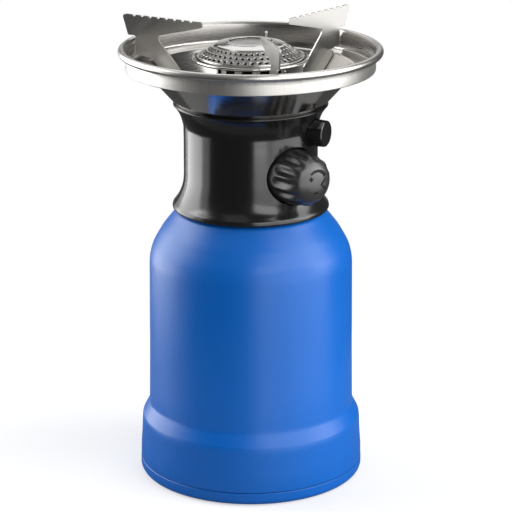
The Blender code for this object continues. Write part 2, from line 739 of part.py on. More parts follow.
def collar(frame, knob_frame, button_frame):
    """Black moulded collar: foot, waist, lip, shelf for the valve, web for the bowl."""
    lip_top = seat_point(COLLAR_LIP_RADIUS - OVERRUN / 2)
    seat_end = (cone_radius(WEB_TOP, -GAP), WEB_TOP)
    foot_bore = COLLAR_FOOT_RADIUS - COLLAR_WALL - OVERRUN
    outline = collar_outside()
    outline += [
        lip_top,
        seat_end,
        (TUBE_RADIUS + TUBE_HOLE_CLEARANCE, WEB_TOP),
        (TUBE_RADIUS + TUBE_HOLE_CLEARANCE, WEB_BOTTOM),
        (COLLAR_TOP_BORE_RADIUS, WEB_BOTTOM),
        (COLLAR_BORE_RADIUS, WEB_BOTTOM - COLLAR_BORE_FLARE),
        (COLLAR_BORE_RADIUS, SHELF_TOP),
        (THREAD_RADIUS + RUNNING_GAP, SHELF_TOP),
        (THREAD_RADIUS + RUNNING_GAP, SHELF_TOP - COLLAR_SHELF),
        (foot_bore, SHELF_TOP - COLLAR_SHELF),
        (foot_bore, COLLAR_BOTTOM),
    ]
    body = turned("collar", outline, black_plastic(), frame, LARGE_SEGMENTS)
    hole = rod(
        "knob_hole", KNOB_HOLE_RADIUS, COLLAR_BORE_RADIUS - KNOB_HOLE_RADIUS / 2,
        COLLAR_FOOT_RADIUS,
        None, knob_frame, LARGE_SEGMENTS,
    )
    cut(body, hole)
    sleeve = rod(
        "igniter_sleeve", SLEEVE_BORE + SLEEVE_WALL, SLEEVE_START,
        COLLAR_WAIST_RADIUS - COLLAR_WALL / 2, None, button_frame, MEDIUM_SEGMENTS,
    )
    join(body, sleeve)
    bore = rod(
        "igniter_bore", SLEEVE_BORE, IGNITER_START - OVERRUN, BUTTON_FACE_AT,
        None, button_frame, MEDIUM_SEGMENTS,
    )
    cut(body, bore)
    cut(body, web_holes(frame))
    cut(body, screw_holes("shelf_holes", frame, VALVE_SCREW_RADIUS,
                          VALVE_SCREW_AZIMUTH, FLANGE_TOP))


def screw_holes(name, frame, circle, start, top):
    """Clearance holes for a ring of screws."""
    holes = bmesh.new()
    outline = rod_outline(SCREW_RADIUS + GAP, top - SCREW_LENGTH - OVERRUN, top + OVERRUN)
    for azimuth in around(SCREW_COUNT, start):
        add_turned(holes, outline, TINY_SEGMENTS, polar(circle, azimuth, 0.0).xy)
    return finish(name, holes, None, frame)


def web_holes(frame):
    """Holes through the bowl and the collar's web, for screws and electrode."""
    bottom = WEB_BOTTOM - OVERRUN
    top = BOWL_FLOOR + OVERRUN
    holes = bmesh.new()
    for azimuth in around(SCREW_COUNT, BOWL_SCREW_AZIMUTH):
        place = polar(BOWL_SCREW_RADIUS, azimuth, 0.0).xy
        add_turned(holes, rod_outline(SCREW_RADIUS + GAP, bottom, top), TINY_SEGMENTS, place)
    place = polar(ELECTRODE_PLACE_RADIUS, ELECTRODE_AZIMUTH, 0.0).xy
    radius = ELECTRODE_RADIUS + GAP + INSULATOR_WALL + GAP
    add_turned(holes, rod_outline(radius, bottom, top), TINY_SEGMENTS, place)
    return finish("web_holes", holes, None, frame)


def screws(name, frame, circle, start, seat):
    """A ring of pan-head screws, pointing down, with their heads on a seat."""
    steel = material("plated_steel", (0.60, 0.60, 0.58), 0.3, 1.0)
    outline = [
        (0.0, seat + GAP - SCREW_LENGTH),
        (SCREW_RADIUS / 2, seat + GAP - SCREW_LENGTH),
        (SCREW_RADIUS, seat + GAP - SCREW_LENGTH + SCREW_RADIUS / 2),
        (SCREW_RADIUS, seat + GAP),
        (SCREW_HEAD_RADIUS, seat + GAP),
        (SCREW_HEAD_RADIUS, seat + GAP + SCREW_HEAD_HEIGHT / 2),
        (SCREW_HEAD_RADIUS / 2, seat + GAP + SCREW_HEAD_HEIGHT),
        (0.0, seat + GAP + SCREW_HEAD_HEIGHT),
    ]
    for number, azimuth in enumerate(around(SCREW_COUNT, start)):
        screw = turned("%s_%d" % (name, number + 1), outline, steel, frame, TINY_SEGMENTS)
        screw.location = polar(circle, azimuth, 0.0)


def valve_body(frame, knob_frame):
    """Cast valve: threaded stem, flange, block, spindle boss, seat for the tube."""
    needle_bore = NEEDLE_SHANK_RADIUS + GAP
    needle_seat = GASKET_SEAT + NEEDLE_SHANK_LENGTH + GAP
    filter_seat = needle_seat + FILTER_HEIGHT + GAP
    gasket_bore = NOSE_RADIUS - NOSE_RIM
    spigot_top = BLOCK_TOP + SPIGOT_TUBE_HEIGHT
    stem_top = NECK_BOTTOM
    jet_bore = JET_SHANK_RADIUS + GAP
    outline = [
        (gasket_bore, NOSE_BOTTOM),
        (NOSE_RADIUS, NOSE_BOTTOM),
        (NOSE_RADIUS, NOSE_BOTTOM + NOSE_HEIGHT),
        (STEM_RADIUS, NOSE_BOTTOM + NOSE_HEIGHT + STEM_RADIUS - NOSE_RADIUS),
        (STEM_RADIUS, stem_top),
        (THREAD_RADIUS, stem_top + THREAD_RADIUS - STEM_RADIUS),
        (THREAD_RADIUS, FLANGE_BOTTOM),
        (FLANGE_RADIUS, FLANGE_BOTTOM),
        (FLANGE_RADIUS, FLANGE_TOP),
        (BLOCK_RADIUS, FLANGE_TOP),
        (BLOCK_RADIUS, BLOCK_TOP),
        (SPIGOT_TUBE_RADIUS, BLOCK_TOP),
        (SPIGOT_TUBE_RADIUS, spigot_top),
        (jet_bore, spigot_top),
        (jet_bore, spigot_top - JET_SHANK_LENGTH - GAP),
        (GAS_BORE_RADIUS, spigot_top - JET_SHANK_LENGTH - GAP),
        (GAS_BORE_RADIUS, filter_seat),
        (needle_bore, filter_seat),
        (needle_bore, GASKET_SEAT),
        (gasket_bore, GASKET_SEAT),
    ]
    body = turned("valve_body", outline, brass(), frame, SMALL_SEGMENTS)
    boss = rod(
        "spindle_boss", BOSS_RADIUS, BLOCK_RADIUS / 2, BOSS_LENGTH,
        None, knob_frame, SMALL_SEGMENTS,
    )
    join(body, boss)
    bore_outline = [
        (0.0, SPINDLE_START - GAP),
        (SPINDLE_RADIUS + GAP, SPINDLE_START - GAP),
        (SPINDLE_RADIUS + GAP, PACKING_START),
        (PACKING_RADIUS, PACKING_START),
        (PACKING_RADIUS, BOSS_LENGTH + OVERRUN),
        (0.0, BOSS_LENGTH + OVERRUN),
    ]
    bore = turned("spindle_bore", bore_outline, None, knob_frame, SMALL_SEGMENTS)
    cut(body, bore)
    cut(body, screw_holes("flange_holes", frame, VALVE_SCREW_RADIUS,
                          VALVE_SCREW_AZIMUTH, FLANGE_TOP))


def piercing_needle(frame):
    """Hollow needle screwed into the valve's nose."""
    tip = CARTRIDGE_TOP - NEEDLE_REACH
    shank_top = GASKET_SEAT + NEEDLE_SHANK_LENGTH
    outline = [
        (NEEDLE_BORE_RADIUS, tip),
        (NEEDLE_RADIUS, tip + NEEDLE_TIP),
        (NEEDLE_RADIUS, GASKET_SEAT + GAP),
        (NEEDLE_SHANK_RADIUS, GASKET_SEAT + GAP),
        (NEEDLE_SHANK_RADIUS, shank_top),
        (NEEDLE_BORE_RADIUS, shank_top),
    ]
    turned("piercing_needle", outline, stainless(), frame, SMALL_SEGMENTS)


def inlet_filter(frame):
    """Sintered disc above the needle."""
    bottom = GASKET_SEAT + NEEDLE_SHANK_LENGTH + GAP
    bronze = material("sintered_bronze", (0.45, 0.30, 0.16), 0.7, 0.9)
    rod("inlet_filter", NEEDLE_SHANK_RADIUS, bottom, bottom + FILTER_HEIGHT - GAP,
        bronze, frame, SMALL_SEGMENTS)


def cartridge_gasket(frame):
    """Rubber washer between the valve's nose and the cartridge's seat."""
    bottom = CARTRIDGE_TOP + GAP
    outline = ring_outline(
        GASKET_INNER_RADIUS, NOSE_RADIUS - NOSE_RIM - GAP, bottom, bottom + GASKET_THICKNESS,
    )
    turned("cartridge_gasket", outline, rubber(), frame, SMALL_SEGMENTS)


def gas_jet(frame):
    """Brass jet with its hexagon and drilled tip."""
    seat = BLOCK_TOP + SPIGOT_TUBE_HEIGHT + GAP
    hex_top = seat + JET_HEX_HEIGHT
    outline = [
        (JET_BORE_RADIUS, seat - JET_SHANK_LENGTH),
        (JET_SHANK_RADIUS, seat - JET_SHANK_LENGTH),
        (JET_SHANK_RADIUS, seat),
        (JET_HEX_RADIUS, seat),
        (JET_HEX_RADIUS, hex_top),
        (JET_TIP_RADIUS, hex_top),
        (JET_TIP_RADIUS / 2, hex_top + JET_TIP_HEIGHT),
        (JET_BORE_RADIUS, hex_top + JET_TIP_HEIGHT),
    ]
    turned("gas_jet", outline, brass(), frame, TINY_SEGMENTS)


def mixing_tube(frame):
    """Tube over the jet, with air ports near its foot."""
    bottom = BLOCK_TOP + GAP
    top = BOWL_FLOOR + TUBE_TOP_RISE
    outline = ring_outline(TUBE_RADIUS - TUBE_WALL, TUBE_RADIUS, bottom, top)
    tube = turned("mixing_tube", outline, brass(), frame, MEDIUM_SEGMENTS)
    ports = bmesh.new()
    for azimuth in around(PORT_COUNT, math.pi / PORT_COUNT):
        add_block(
            ports, azimuth, TUBE_RADIUS / 2, TUBE_RADIUS + OVERRUN, PORT_WIDTH / 2,
            bottom + PORT_RISE, bottom + PORT_RISE + PORT_HEIGHT,
        )
    cut(tube, finish("air_ports", ports, None, frame))


def gland_nut(knob_frame):
    """Brass packing nut around the spindle."""
    head_start = BOSS_LENGTH + GAP
    bore = SPINDLE_RADIUS + GAP
    shank = PACKING_RADIUS - GAP
    start = PACKING_START + GAP + O_RING_LENGTH + GAP
    outline = ring_outline(bore, shank, start, head_start + GLAND_HEAD / 2)
    nut = turned("gland_nut", outline, brass(), knob_frame, SMALL_SEGMENTS)
    head = turned(
        "gland_hexagon", ring_outline(bore + OVERRUN / 4, GLAND_RADIUS, head_start,
                                      head_start + GLAND_HEAD),
        None, knob_frame, GLAND_SIDES,
    )
    join(nut, head)


def spindle_o_ring(knob_frame):
    """Rubber ring that seals the spindle."""
    start = PACKING_START + GAP
    outline = ring_outline(
        SPINDLE_RADIUS + GAP, PACKING_RADIUS - GAP, start, start + O_RING_LENGTH,
    )
    turned("spindle_o_ring", outline, rubber(), knob_frame, SMALL_SEGMENTS)


def flattened_ring(bm, radius, flat, height, segments):
    """A ring of points whose +X side is cut off flat."""
    ring = []
    for step in range(segments):
        angle = math.tau * step / segments
        x = min(radius * math.cos(angle), flat)
        ring.append(bm.verts.new((x, radius * math.sin(angle), height)))
    return ring


def flattened_rod(name, stations, surface, parent, segments):
    """A rod through stations (radius, flat, height), closed at both ends."""
    bm = bmesh.new()
    rings = [flattened_ring(bm, *station, segments) for station in stations]
    for ring, following in zip(rings, rings[1:]):
        bridge(bm, ring, following)
    bm.faces.new(rings[0])
    bm.faces.new(rings[-1])
    return finish(name, bm, surface, parent)


def valve_spindle(knob_frame):
    """Spindle with a conical seat end and a flat for the knob."""
    cone_end = SPINDLE_START + SPINDLE_CONE
    stations = [
        (SPINDLE_TIP_RADIUS, SPINDLE_TIP_RADIUS, SPINDLE_START),
        (SPINDLE_RADIUS, SPINDLE_RADIUS, cone_end),
        (SPINDLE_RADIUS, SPINDLE_RADIUS, SPINDLE_FLAT_START),
        (SPINDLE_RADIUS, SPINDLE_FLAT, SPINDLE_FLAT_START + SPINDLE_FLAT_RUN),
        (SPINDLE_RADIUS, SPINDLE_FLAT, SPINDLE_END),
    ]
    flattened_rod("valve_spindle", stations, brass(), knob_frame, SMALL_SEGMENTS)


def control_knob(knob_frame):
    """Domed knob with scooped flutes, hollow behind, with a bore for the spindle."""
    segments = KNOB_FLUTE_COUNT * 3
    bm = bmesh.new()
    rings = []
    for along, out, flute in KNOB_SHARES:
        ring = []
        for step in range(segments):
            angle = math.tau * step / segments
            scoop = max(0.0, math.cos(angle * KNOB_FLUTE_COUNT))
            radius = KNOB_RADIUS * out - KNOB_FLUTE_DEPTH * flute * scoop
            ring.append(bm.verts.new((
                radius * math.cos(angle),
                radius * math.sin(angle),
                KNOB_BACK + KNOB_LENGTH * along,
            )))
        rings.append(ring)
    rings.append([bm.verts.new((0.0, 0.0, KNOB_BACK + KNOB_LENGTH))])
    for ring, following in zip(rings, rings[1:]):
        bridge(bm, ring, following)
    bm.faces.new(rings[0])
    knob = finish("control_knob", bm, black_plastic(), knob_frame)
    cavity = rod(
        "knob_cavity", KNOB_CAVITY_RADIUS, KNOB_BACK - OVERRUN,
        KNOB_BORE_START, None, knob_frame, SMALL_SEGMENTS,
    )
    cut(knob, cavity)
    bore_radius = SPINDLE_RADIUS + GAP
    bore_flat = SPINDLE_FLAT + GAP
    bore_end = SPINDLE_END + SPINDLE_TRAVEL + GAP
    stations = [
        (bore_radius, bore_flat, KNOB_BORE_START - OVERRUN),
        (bore_radius, bore_flat, bore_end),
    ]
    cut(knob, flattened_rod("knob_bore", stations, None, knob_frame, SMALL_SEGMENTS))


def piezo_body(button_frame):
    """Igniter mechanism with its guide nose and rear terminal."""
    outline = [
        (0.0, IGNITER_START - IGNITER_TERMINAL_LENGTH),
        (IGNITER_TERMINAL_RADIUS, IGNITER_START - IGNITER_TERMINAL_LENGTH),
        (IGNITER_TERMINAL_RADIUS, IGNITER_START),
        (BUTTON_RADIUS, IGNITER_START),
        (BUTTON_RADIUS, IGNITER_END),
        (IGNITER_NOSE_RADIUS, IGNITER_END),
        (IGNITER_NOSE_RADIUS, IGNITER_NOSE_END),
        (0.0, IGNITER_NOSE_END),
    ]
    grey = material("grey_plastic", (0.35, 0.35, 0.34), 0.5, 0.0)
    turned("piezo_body", outline, grey, button_frame, SMALL_SEGMENTS)


def piezo_button(button_frame):
    """Push button, a hollow cap that slides over the igniter's nose."""
    back = BUTTON_FACE_AT - BUTTON_LENGTH
    face_inside = BUTTON_FACE_AT - BUTTON_FACE
    edge = BUTTON_FACE / 3
    outline = [
        (0.0, face_inside),
        (BUTTON_BORE_RADIUS, face_inside),
        (BUTTON_BORE_RADIUS, back),
        (BUTTON_RADIUS, back),
        (BUTTON_RADIUS - BUTTON_TAPER, BUTTON_FACE_AT - edge),
        (BUTTON_RADIUS - BUTTON_TAPER - edge, BUTTON_FACE_AT),
        (0.0, BUTTON_FACE_AT),
    ]
    turned("piezo_button", outline, black_plastic(), button_frame, MEDIUM_SEGMENTS)


def piezo_spring(button_frame):
    """Return spring between the igniter's body and the button's face."""
    start = IGNITER_END + SPRING_WIRE_RADIUS + GAP
    end = BUTTON_FACE_AT - BUTTON_FACE - SPRING_WIRE_RADIUS - GAP
    count = SPRING_TURNS * SPRING_STEPS
    points = []
    for step in range(count + 1):
        angle = math.tau * step / SPRING_STEPS
        points.append((
            SPRING_RADIUS * math.cos(angle),
            SPRING_RADIUS * math.sin(angle),
            start + (end - start) * step / count,
        ))
    steel = material("spring_steel", (0.45, 0.45, 0.46), 0.3, 1.0)
    tube_along("piezo_spring", points, SPRING_WIRE_RADIUS, 0, steel, button_frame)


def tube_along(name, points, radius, resolution, surface, parent):
    """A round wire along points, with closed ends."""
    curve = bpy.data.curves.new(name, "CURVE")
    curve.dimensions = "3D"
    curve.bevel_depth = radius
    curve.bevel_resolution = resolution
    curve.use_fill_caps = True
    spline = curve.splines.new("POLY")
    spline.points.add(len(points) - 1)
    for point, place in zip(spline.points, points):
        point.co = (*place, 1.0)
    made = bpy.data.objects.new(name, curve)
    bpy.context.collection.objects.link(made)
    curve.materials.append(surface)
    made.parent = parent
    return made


def smooth_route(stations, steps):
    """Points along a Catmull-Rom curve through a list of vectors."""
    ends = [2 * stations[0] - stations[1], 2 * stations[-1] - stations[-2]]
    padded = [ends[0], *stations, ends[1]]
    points = []
    for a, b, c, d in zip(padded, padded[1:], padded[2:], padded[3:]):
        for step in range(steps):
            t = step / steps
            points.append(0.5 * (
                2 * b + (c - a) * t + (2 * a - 5 * b + 4 * c - d) * t ** 2
                + (3 * b - a - 3 * c + d) * t ** 3
            ))
    points.append(stations[-1])
    return points


def ignition_lead(frame):
    """Insulated wire from the igniter's terminal round to the electrode's foot."""
    start = IGNITER_START - IGNITER_TERMINAL_LENGTH - GAP
    hug = TUBE_RADIUS + LEAD_RADIUS + RUNNING_GAP * 2
    foot = WEB_BOTTOM - ELECTRODE_FOOT - GAP
    low = foot - LEAD_DROP
    swing = ELECTRODE_AZIMUTH - BUTTON_AZIMUTH
    route = (
        (0.0, start, BUTTON_HEIGHT),
        (0.05, (start + hug) / 2, BUTTON_HEIGHT),
        (0.20, hug, (BUTTON_HEIGHT + low) / 2),
        (0.42, hug + LEAD_RADIUS, low),
        (0.66, (hug + ELECTRODE_PLACE_RADIUS) / 2, low - LEAD_RADIUS),
        (0.90, ELECTRODE_PLACE_RADIUS - LEAD_RADIUS * 2, low - LEAD_RADIUS),
        (0.985, ELECTRODE_PLACE_RADIUS - LEAD_RADIUS / 4, (low + foot) / 2),
        (1.0, ELECTRODE_PLACE_RADIUS, foot),
    )
    stations = [
        polar(radius, BUTTON_AZIMUTH + swing * share, height)
        for share, radius, height in route
    ]
    insulation = material("lead_insulation", (0.35, 0.05, 0.04), 0.5, 0.0)
    tube_along("ignition_lead", smooth_route(stations, 4), LEAD_RADIUS, 1,
               insulation, frame)


def electrode_frame(parent):
    """A frame on the electrode's own upright axis."""
    frame = empty("electrode_axis", 0.0, (0.0, 0.0, 0.0))
    frame.location = polar(ELECTRODE_PLACE_RADIUS, ELECTRODE_AZIMUTH, 0.0)
    frame.parent = parent
    return frame


def electrode(parent):
    """Spark wire in its ceramic tube, with the clip that holds it."""
    frame = electrode_frame(parent)
    foot = WEB_BOTTOM - ELECTRODE_FOOT
    wire = [
        (0.0, foot),
        (ELECTRODE_RADIUS, foot),
        (ELECTRODE_RADIUS, foot + ELECTRODE_LENGTH - ELECTRODE_RADIUS),
        (ELECTRODE_RADIUS / 2, foot + ELECTRODE_LENGTH),
        (0.0, foot + ELECTRODE_LENGTH),
    ]
    turned("electrode_wire", wire, stainless(), frame, TINY_SEGMENTS)
    bore = ELECTRODE_RADIUS + GAP
    outer = bore + INSULATOR_WALL
    bottom = WEB_BOTTOM - INSULATOR_TAIL
    collar_top = WEB_BOTTOM - GAP
    tube = [
        (bore, bottom),
        (outer, bottom),
        (outer, collar_top - INSULATOR_COLLAR_HEIGHT),
        (INSULATOR_COLLAR_RADIUS, collar_top - INSULATOR_COLLAR_HEIGHT),
        (INSULATOR_COLLAR_RADIUS, collar_top),
        (outer, collar_top),
        (outer, bottom + INSULATOR_LENGTH),
        (bore, bottom + INSULATOR_LENGTH),
    ]
    turned("electrode_insulator", tube, ceramic(), frame, SMALL_SEGMENTS)
    clip_bottom = BOWL_FLOOR + GAP
    clip = ring_outline(outer + GAP, CLIP_RADIUS, clip_bottom, clip_bottom + CLIP_HEIGHT)
    turned("electrode_clip", clip, stainless(), frame, SMALL_SEGMENTS)


def bowl(frame):
    """Pressed bowl: flat bottom, cone, ledge, upright band and rolled bead."""
    ledge = BAND_BOTTOM + BOWL_WALL
    inner_wall = BAND_BOTTOM_RADIUS - BOWL_WALL
    shoulder = cone_radius(ledge, BOWL_WALL)
    hole = TUBE_RADIUS + TUBE_HOLE_CLEARANCE
    bead = (BEAD_PLACE_RADIUS, BEAD_HEIGHT)
    outline = [
        (hole, BOWL_FLOOR),
        (cone_radius(BOWL_FLOOR, BOWL_WALL), BOWL_FLOOR),
        (shoulder - BOWL_SHOULDER_WIDTH / 2,
         cone_height(shoulder - BOWL_SHOULDER_WIDTH / 2, BOWL_WALL)),
        (shoulder + BOWL_SHOULDER_WIDTH / 2, ledge),
        (inner_wall - BOWL_FILLET, ledge),
        (inner_wall - BOWL_FILLET / 3, ledge + BOWL_FILLET / 3),
        (inner_wall, ledge + BOWL_FILLET),
        (inner_wall, BEAD_HEIGHT - BEAD_RADIUS),
    ]
    outline += arc(bead, BEAD_RADIUS, 190.0, -100.0, 7)
    outline += [
        (BAND_BOTTOM_RADIUS, BEAD_HEIGHT - BEAD_RADIUS),
        (BAND_BOTTOM_RADIUS, BAND_BOTTOM),
        (BOWL_CONE_TOP_RADIUS, BAND_BOTTOM),
        (BOWL_FOOT_RADIUS, BOWL_BOTTOM),
        (hole, BOWL_BOTTOM),
    ]
    pan = turned("bowl", outline, stainless(), frame, LARGE_SEGMENTS)
    cut(pan, web_holes(frame))


def bowl_nut(frame):
    """Hexagon nut on the mixing tube, which clamps the bowl to the collar."""
    bottom = BOWL_FLOOR + GAP
    outline = ring_outline(TUBE_RADIUS + GAP * 2, NUT_RADIUS, bottom, bottom + NUT_HEIGHT)
    bm = bmesh.new()
    add_turned(bm, outline, MEDIUM_SEGMENTS)
    nut = finish("bowl_nut", bm, brass(), frame)
    sides = bmesh.new()
    across = NUT_RADIUS * math.cos(math.pi / GLAND_SIDES)
    for azimuth in around(GLAND_SIDES, 0.0):
        add_block(
            sides, azimuth, across, NUT_RADIUS + OVERRUN, NUT_RADIUS,
            bottom - OVERRUN, bottom + NUT_HEIGHT + OVERRUN,
        )
    for flat in split_blocks(sides, frame):
        cut(nut, flat)


def split_blocks(bm, frame):
    """One object for each loose block of a bmesh, so that none crosses another."""
    bm.verts.ensure_lookup_table()
    made = []
    for start in range(0, len(bm.verts), 8):
        block = bmesh.new()
        corners = [block.verts.new(bm.verts[start + step].co) for step in range(8)]
        lower, upper = corners[:4], corners[4:]
        block.faces.new(lower)
        block.faces.new(upper)
        bridge(block, lower, upper)
        made.append(finish("nut_flat", block, None, frame))
    bm.free()
    return made


def burner_support(frame):
    """Pressed crown with air windows, which carries the burner."""
    inner = SUPPORT_RADIUS - SUPPORT_WALL
    outline = [
        (inner, SUPPORT_BOTTOM),
        (SUPPORT_FOOT_RADIUS, SUPPORT_BOTTOM),
        (SUPPORT_FOOT_RADIUS, SUPPORT_BOTTOM + SUPPORT_WALL),
        (SUPPORT_RADIUS, SUPPORT_BOTTOM + SUPPORT_WALL),
        (SUPPORT_RADIUS, SUPPORT_TOP),
        (inner, SUPPORT_TOP),
    ]
    crown = turned("burner_support", outline, stainless(), frame, MEDIUM_SEGMENTS)
    windows = bmesh.new()
    top = SUPPORT_TOP - WINDOW_MARGIN
    for azimuth in around(WINDOW_COUNT, 0.0):
        add_block(
            windows, azimuth, inner - OVERRUN, SUPPORT_RADIUS + OVERRUN,
            WINDOW_WIDTH / 2, top - WINDOW_HEIGHT, top,
        )
    cut(crown, finish("air_windows", windows, None, frame))


def burner_pan(frame):
    """Lower half of the burner head, with its hub and rolled edge."""
    hub_bore = TUBE_RADIUS + GAP
    hub_outer = hub_bore + PAN_WALL
    roll = (PAN_ROLL_PLACE_RADIUS, PAN_BOTTOM + PAN_ROLL_RADIUS)
    outline = [
        (hub_bore, PAN_BOTTOM - PAN_HUB_LENGTH),
        (hub_outer, PAN_BOTTOM - PAN_HUB_LENGTH),
        (hub_outer, PAN_BOTTOM),
    ]
    outline += arc(roll, PAN_ROLL_RADIUS, -90.0, 120.0, 6)
    outline += [
        (PAN_ROLL_PLACE_RADIUS - PAN_ROLL_RADIUS, PAN_FLOOR),
        (hub_bore, PAN_FLOOR),
    ]
    turned("burner_pan", outline, stainless(), frame, LARGE_SEGMENTS)


def crown_ring(bm, share, inset, offset):
    """A ring of the crown's sloping band; share counts up its height."""
    radius = CROWN_BOTTOM_RADIUS + (CROWN_TOP_RADIUS - CROWN_BOTTOM_RADIUS) * share
    height = CROWN_BOTTOM + CROWN_RIM_HEIGHT + CROWN_HEIGHT * share - inset
    ring = []
    for step in range(CROWN_HOLES):
        azimuth = math.tau * (step + offset) / CROWN_HOLES
        ring.append(bm.verts.new(polar(radius - inset, azimuth, height)))
    return ring


def crown_hole(bm, share, inset, offset, half_share):
    """Four-cornered holes of one row: for each, right, top, left, bottom."""
    radius = CROWN_BOTTOM_RADIUS + (CROWN_TOP_RADIUS - CROWN_BOTTOM_RADIUS) * share
    reach = HOLE_CORNER_SHARE * HOLE_WIDTH / 2 / radius
    corners = []
    for step in range(CROWN_HOLES):
        azimuth = math.tau * (step + offset) / CROWN_HOLES
        hole = []
        for turn, climb in ((-1, -1), (1, -1), (1, 1), (-1, 1)):
            up = share + half_share * climb
            across = CROWN_BOTTOM_RADIUS + (CROWN_TOP_RADIUS - CROWN_BOTTOM_RADIUS) * up
            height = CROWN_BOTTOM + CROWN_RIM_HEIGHT + CROWN_HEIGHT * up - inset
            hole.append(bm.verts.new(
                polar(across - inset, azimuth + reach * turn, height)
            ))
        corners.append(hole)
    return corners


def crown_skin(bm, inset):
    """One skin of the perforated band; returns its edge rings and its holes."""
    slant = math.hypot(CROWN_HEIGHT, CROWN_BOTTOM_RADIUS - CROWN_TOP_RADIUS)
    half_share = HOLE_CORNER_SHARE * HOLE_WIDTH / 2 / slant
    below = crown_ring(bm, 0.0, inset, 0.0)
    first = below
    all_holes = []
    for row, (low, high) in enumerate(CROWN_BAND_SHARES):
        shift = 0.5 * (row % 2)
        lower = crown_ring(bm, low, inset, shift)
        upper = crown_ring(bm, high, inset, shift)
        strip(bm, below, lower, row > 0)
        holes = crown_hole(bm, (low + high) / 2, inset, shift + 0.5, half_share)
        for step, hole in enumerate(holes):
            after = (step + 1) % CROWN_HOLES
            frame = (lower[step], lower[after], upper[after], upper[step])
            for side in range(4):
                following = (side + 1) % 4
                bm.faces.new((frame[side], frame[following], hole[following], hole[side]))
        all_holes += holes
        below = upper
    last = crown_ring(bm, 1.0, inset, shift)
    strip(bm, below, last, False)
    return first, last, all_holes


def strip(bm, lower, upper, staggered):
    """Faces between two rings; a staggered upper ring is half a step ahead or behind."""
    if not staggered:
        bridge(bm, lower, upper)
        return
    ahead = nearer_next(lower, upper)
    for step in range(len(lower)):
        after = (step + 1) % len(lower)
        if ahead:
            bm.faces.new((lower[step], lower[after], upper[step]))
            bm.faces.new((upper[step], lower[after], upper[after]))
        else:
            bm.faces.new((lower[step], upper[after], upper[step]))
            bm.faces.new((lower[step], lower[after], upper[after]))


def nearer_next(lower, upper):
    """Whether upper[0] lies between lower[0] and lower[1]."""
    return (upper[0].co - lower[1].co).length < (upper[0].co - lower[-1].co).length


def burner_crown(frame):
    """Upper half of the burner head: perforated slope and polished cap."""
    bm = bmesh.new()
    outer_first, outer_last, outer_holes = crown_skin(bm, 0.0)
    inner_first, inner_last, inner_holes = crown_skin(bm, CROWN_WALL)
    for outer, inner in zip(outer_holes, inner_holes):
        bridge(bm, outer, inner)
    rim = []
    for ring, inset in ((outer_first, 0.0), (inner_first, CROWN_WALL)):
        foot = [bm.verts.new((corner.co.x, corner.co.y, CROWN_BOTTOM)) for corner in ring]
        bridge(bm, ring, foot)
        rim.append(foot)
    bridge(bm, *rim)
    cap_top = CROWN_BOTTOM + CROWN_RIM_HEIGHT + CROWN_HEIGHT + CROWN_SHOULDER
    ring_in = CROWN_RING_RADIUS - CROWN_RING_WIDTH
    ring_out = CROWN_RING_RADIUS + CROWN_RING_WIDTH
    cap = [
        (CROWN_TOP_RADIUS - CROWN_SHOULDER / 4, cap_top - CROWN_SHOULDER / 2),
        (CROWN_TOP_RADIUS - CROWN_SHOULDER, cap_top),
        (ring_out, cap_top),
        (CROWN_RING_RADIUS, cap_top + CROWN_RING_HEIGHT),
        (ring_in, cap_top),
    ]
    close_cap(bm, outer_last, cap, cap_top)
    under = [(CROWN_TOP_RADIUS - CROWN_SHOULDER - CROWN_WALL, cap_top - CROWN_WALL)]
    close_cap(bm, inner_last, under, cap_top - CROWN_WALL)
    finish("burner_crown", bm, stainless(), frame)


def close_cap(bm, ring, outline, top):
    """Close a ring towards the axis through an outline (radius, height)."""
    for radius, height in outline:
        following = []
        for corner in ring:
            direction = corner.co.xy.normalized()
            following.append(bm.verts.new((*(direction * radius), height)))
        bridge(bm, ring, following)
        ring = following
    bridge(bm, ring, [bm.verts.new((0.0, 0.0, top))])


def blade_top(start, end):
    """The scalloped top edge, from the inner tip to the outer end."""
    points = []
    pitch = (end[0] - start[0]) / SCALLOP_COUNT
    slope = (end[1] - start[1]) / (end[0] - start[0])
    half = SCALLOP_WIDTH / 2
    for step in range(1, SCALLOP_COUNT):
        middle = start[0] + pitch * step
        for offset, drop in ((-half, 0.0), (-half / 2, 1.0), (half / 2, 1.0), (half, 0.0)):
            radius = middle + offset
            height = start[1] + slope * (radius - start[0]) - SCALLOP_DEPTH * drop
            points.append((radius, height))
    return points


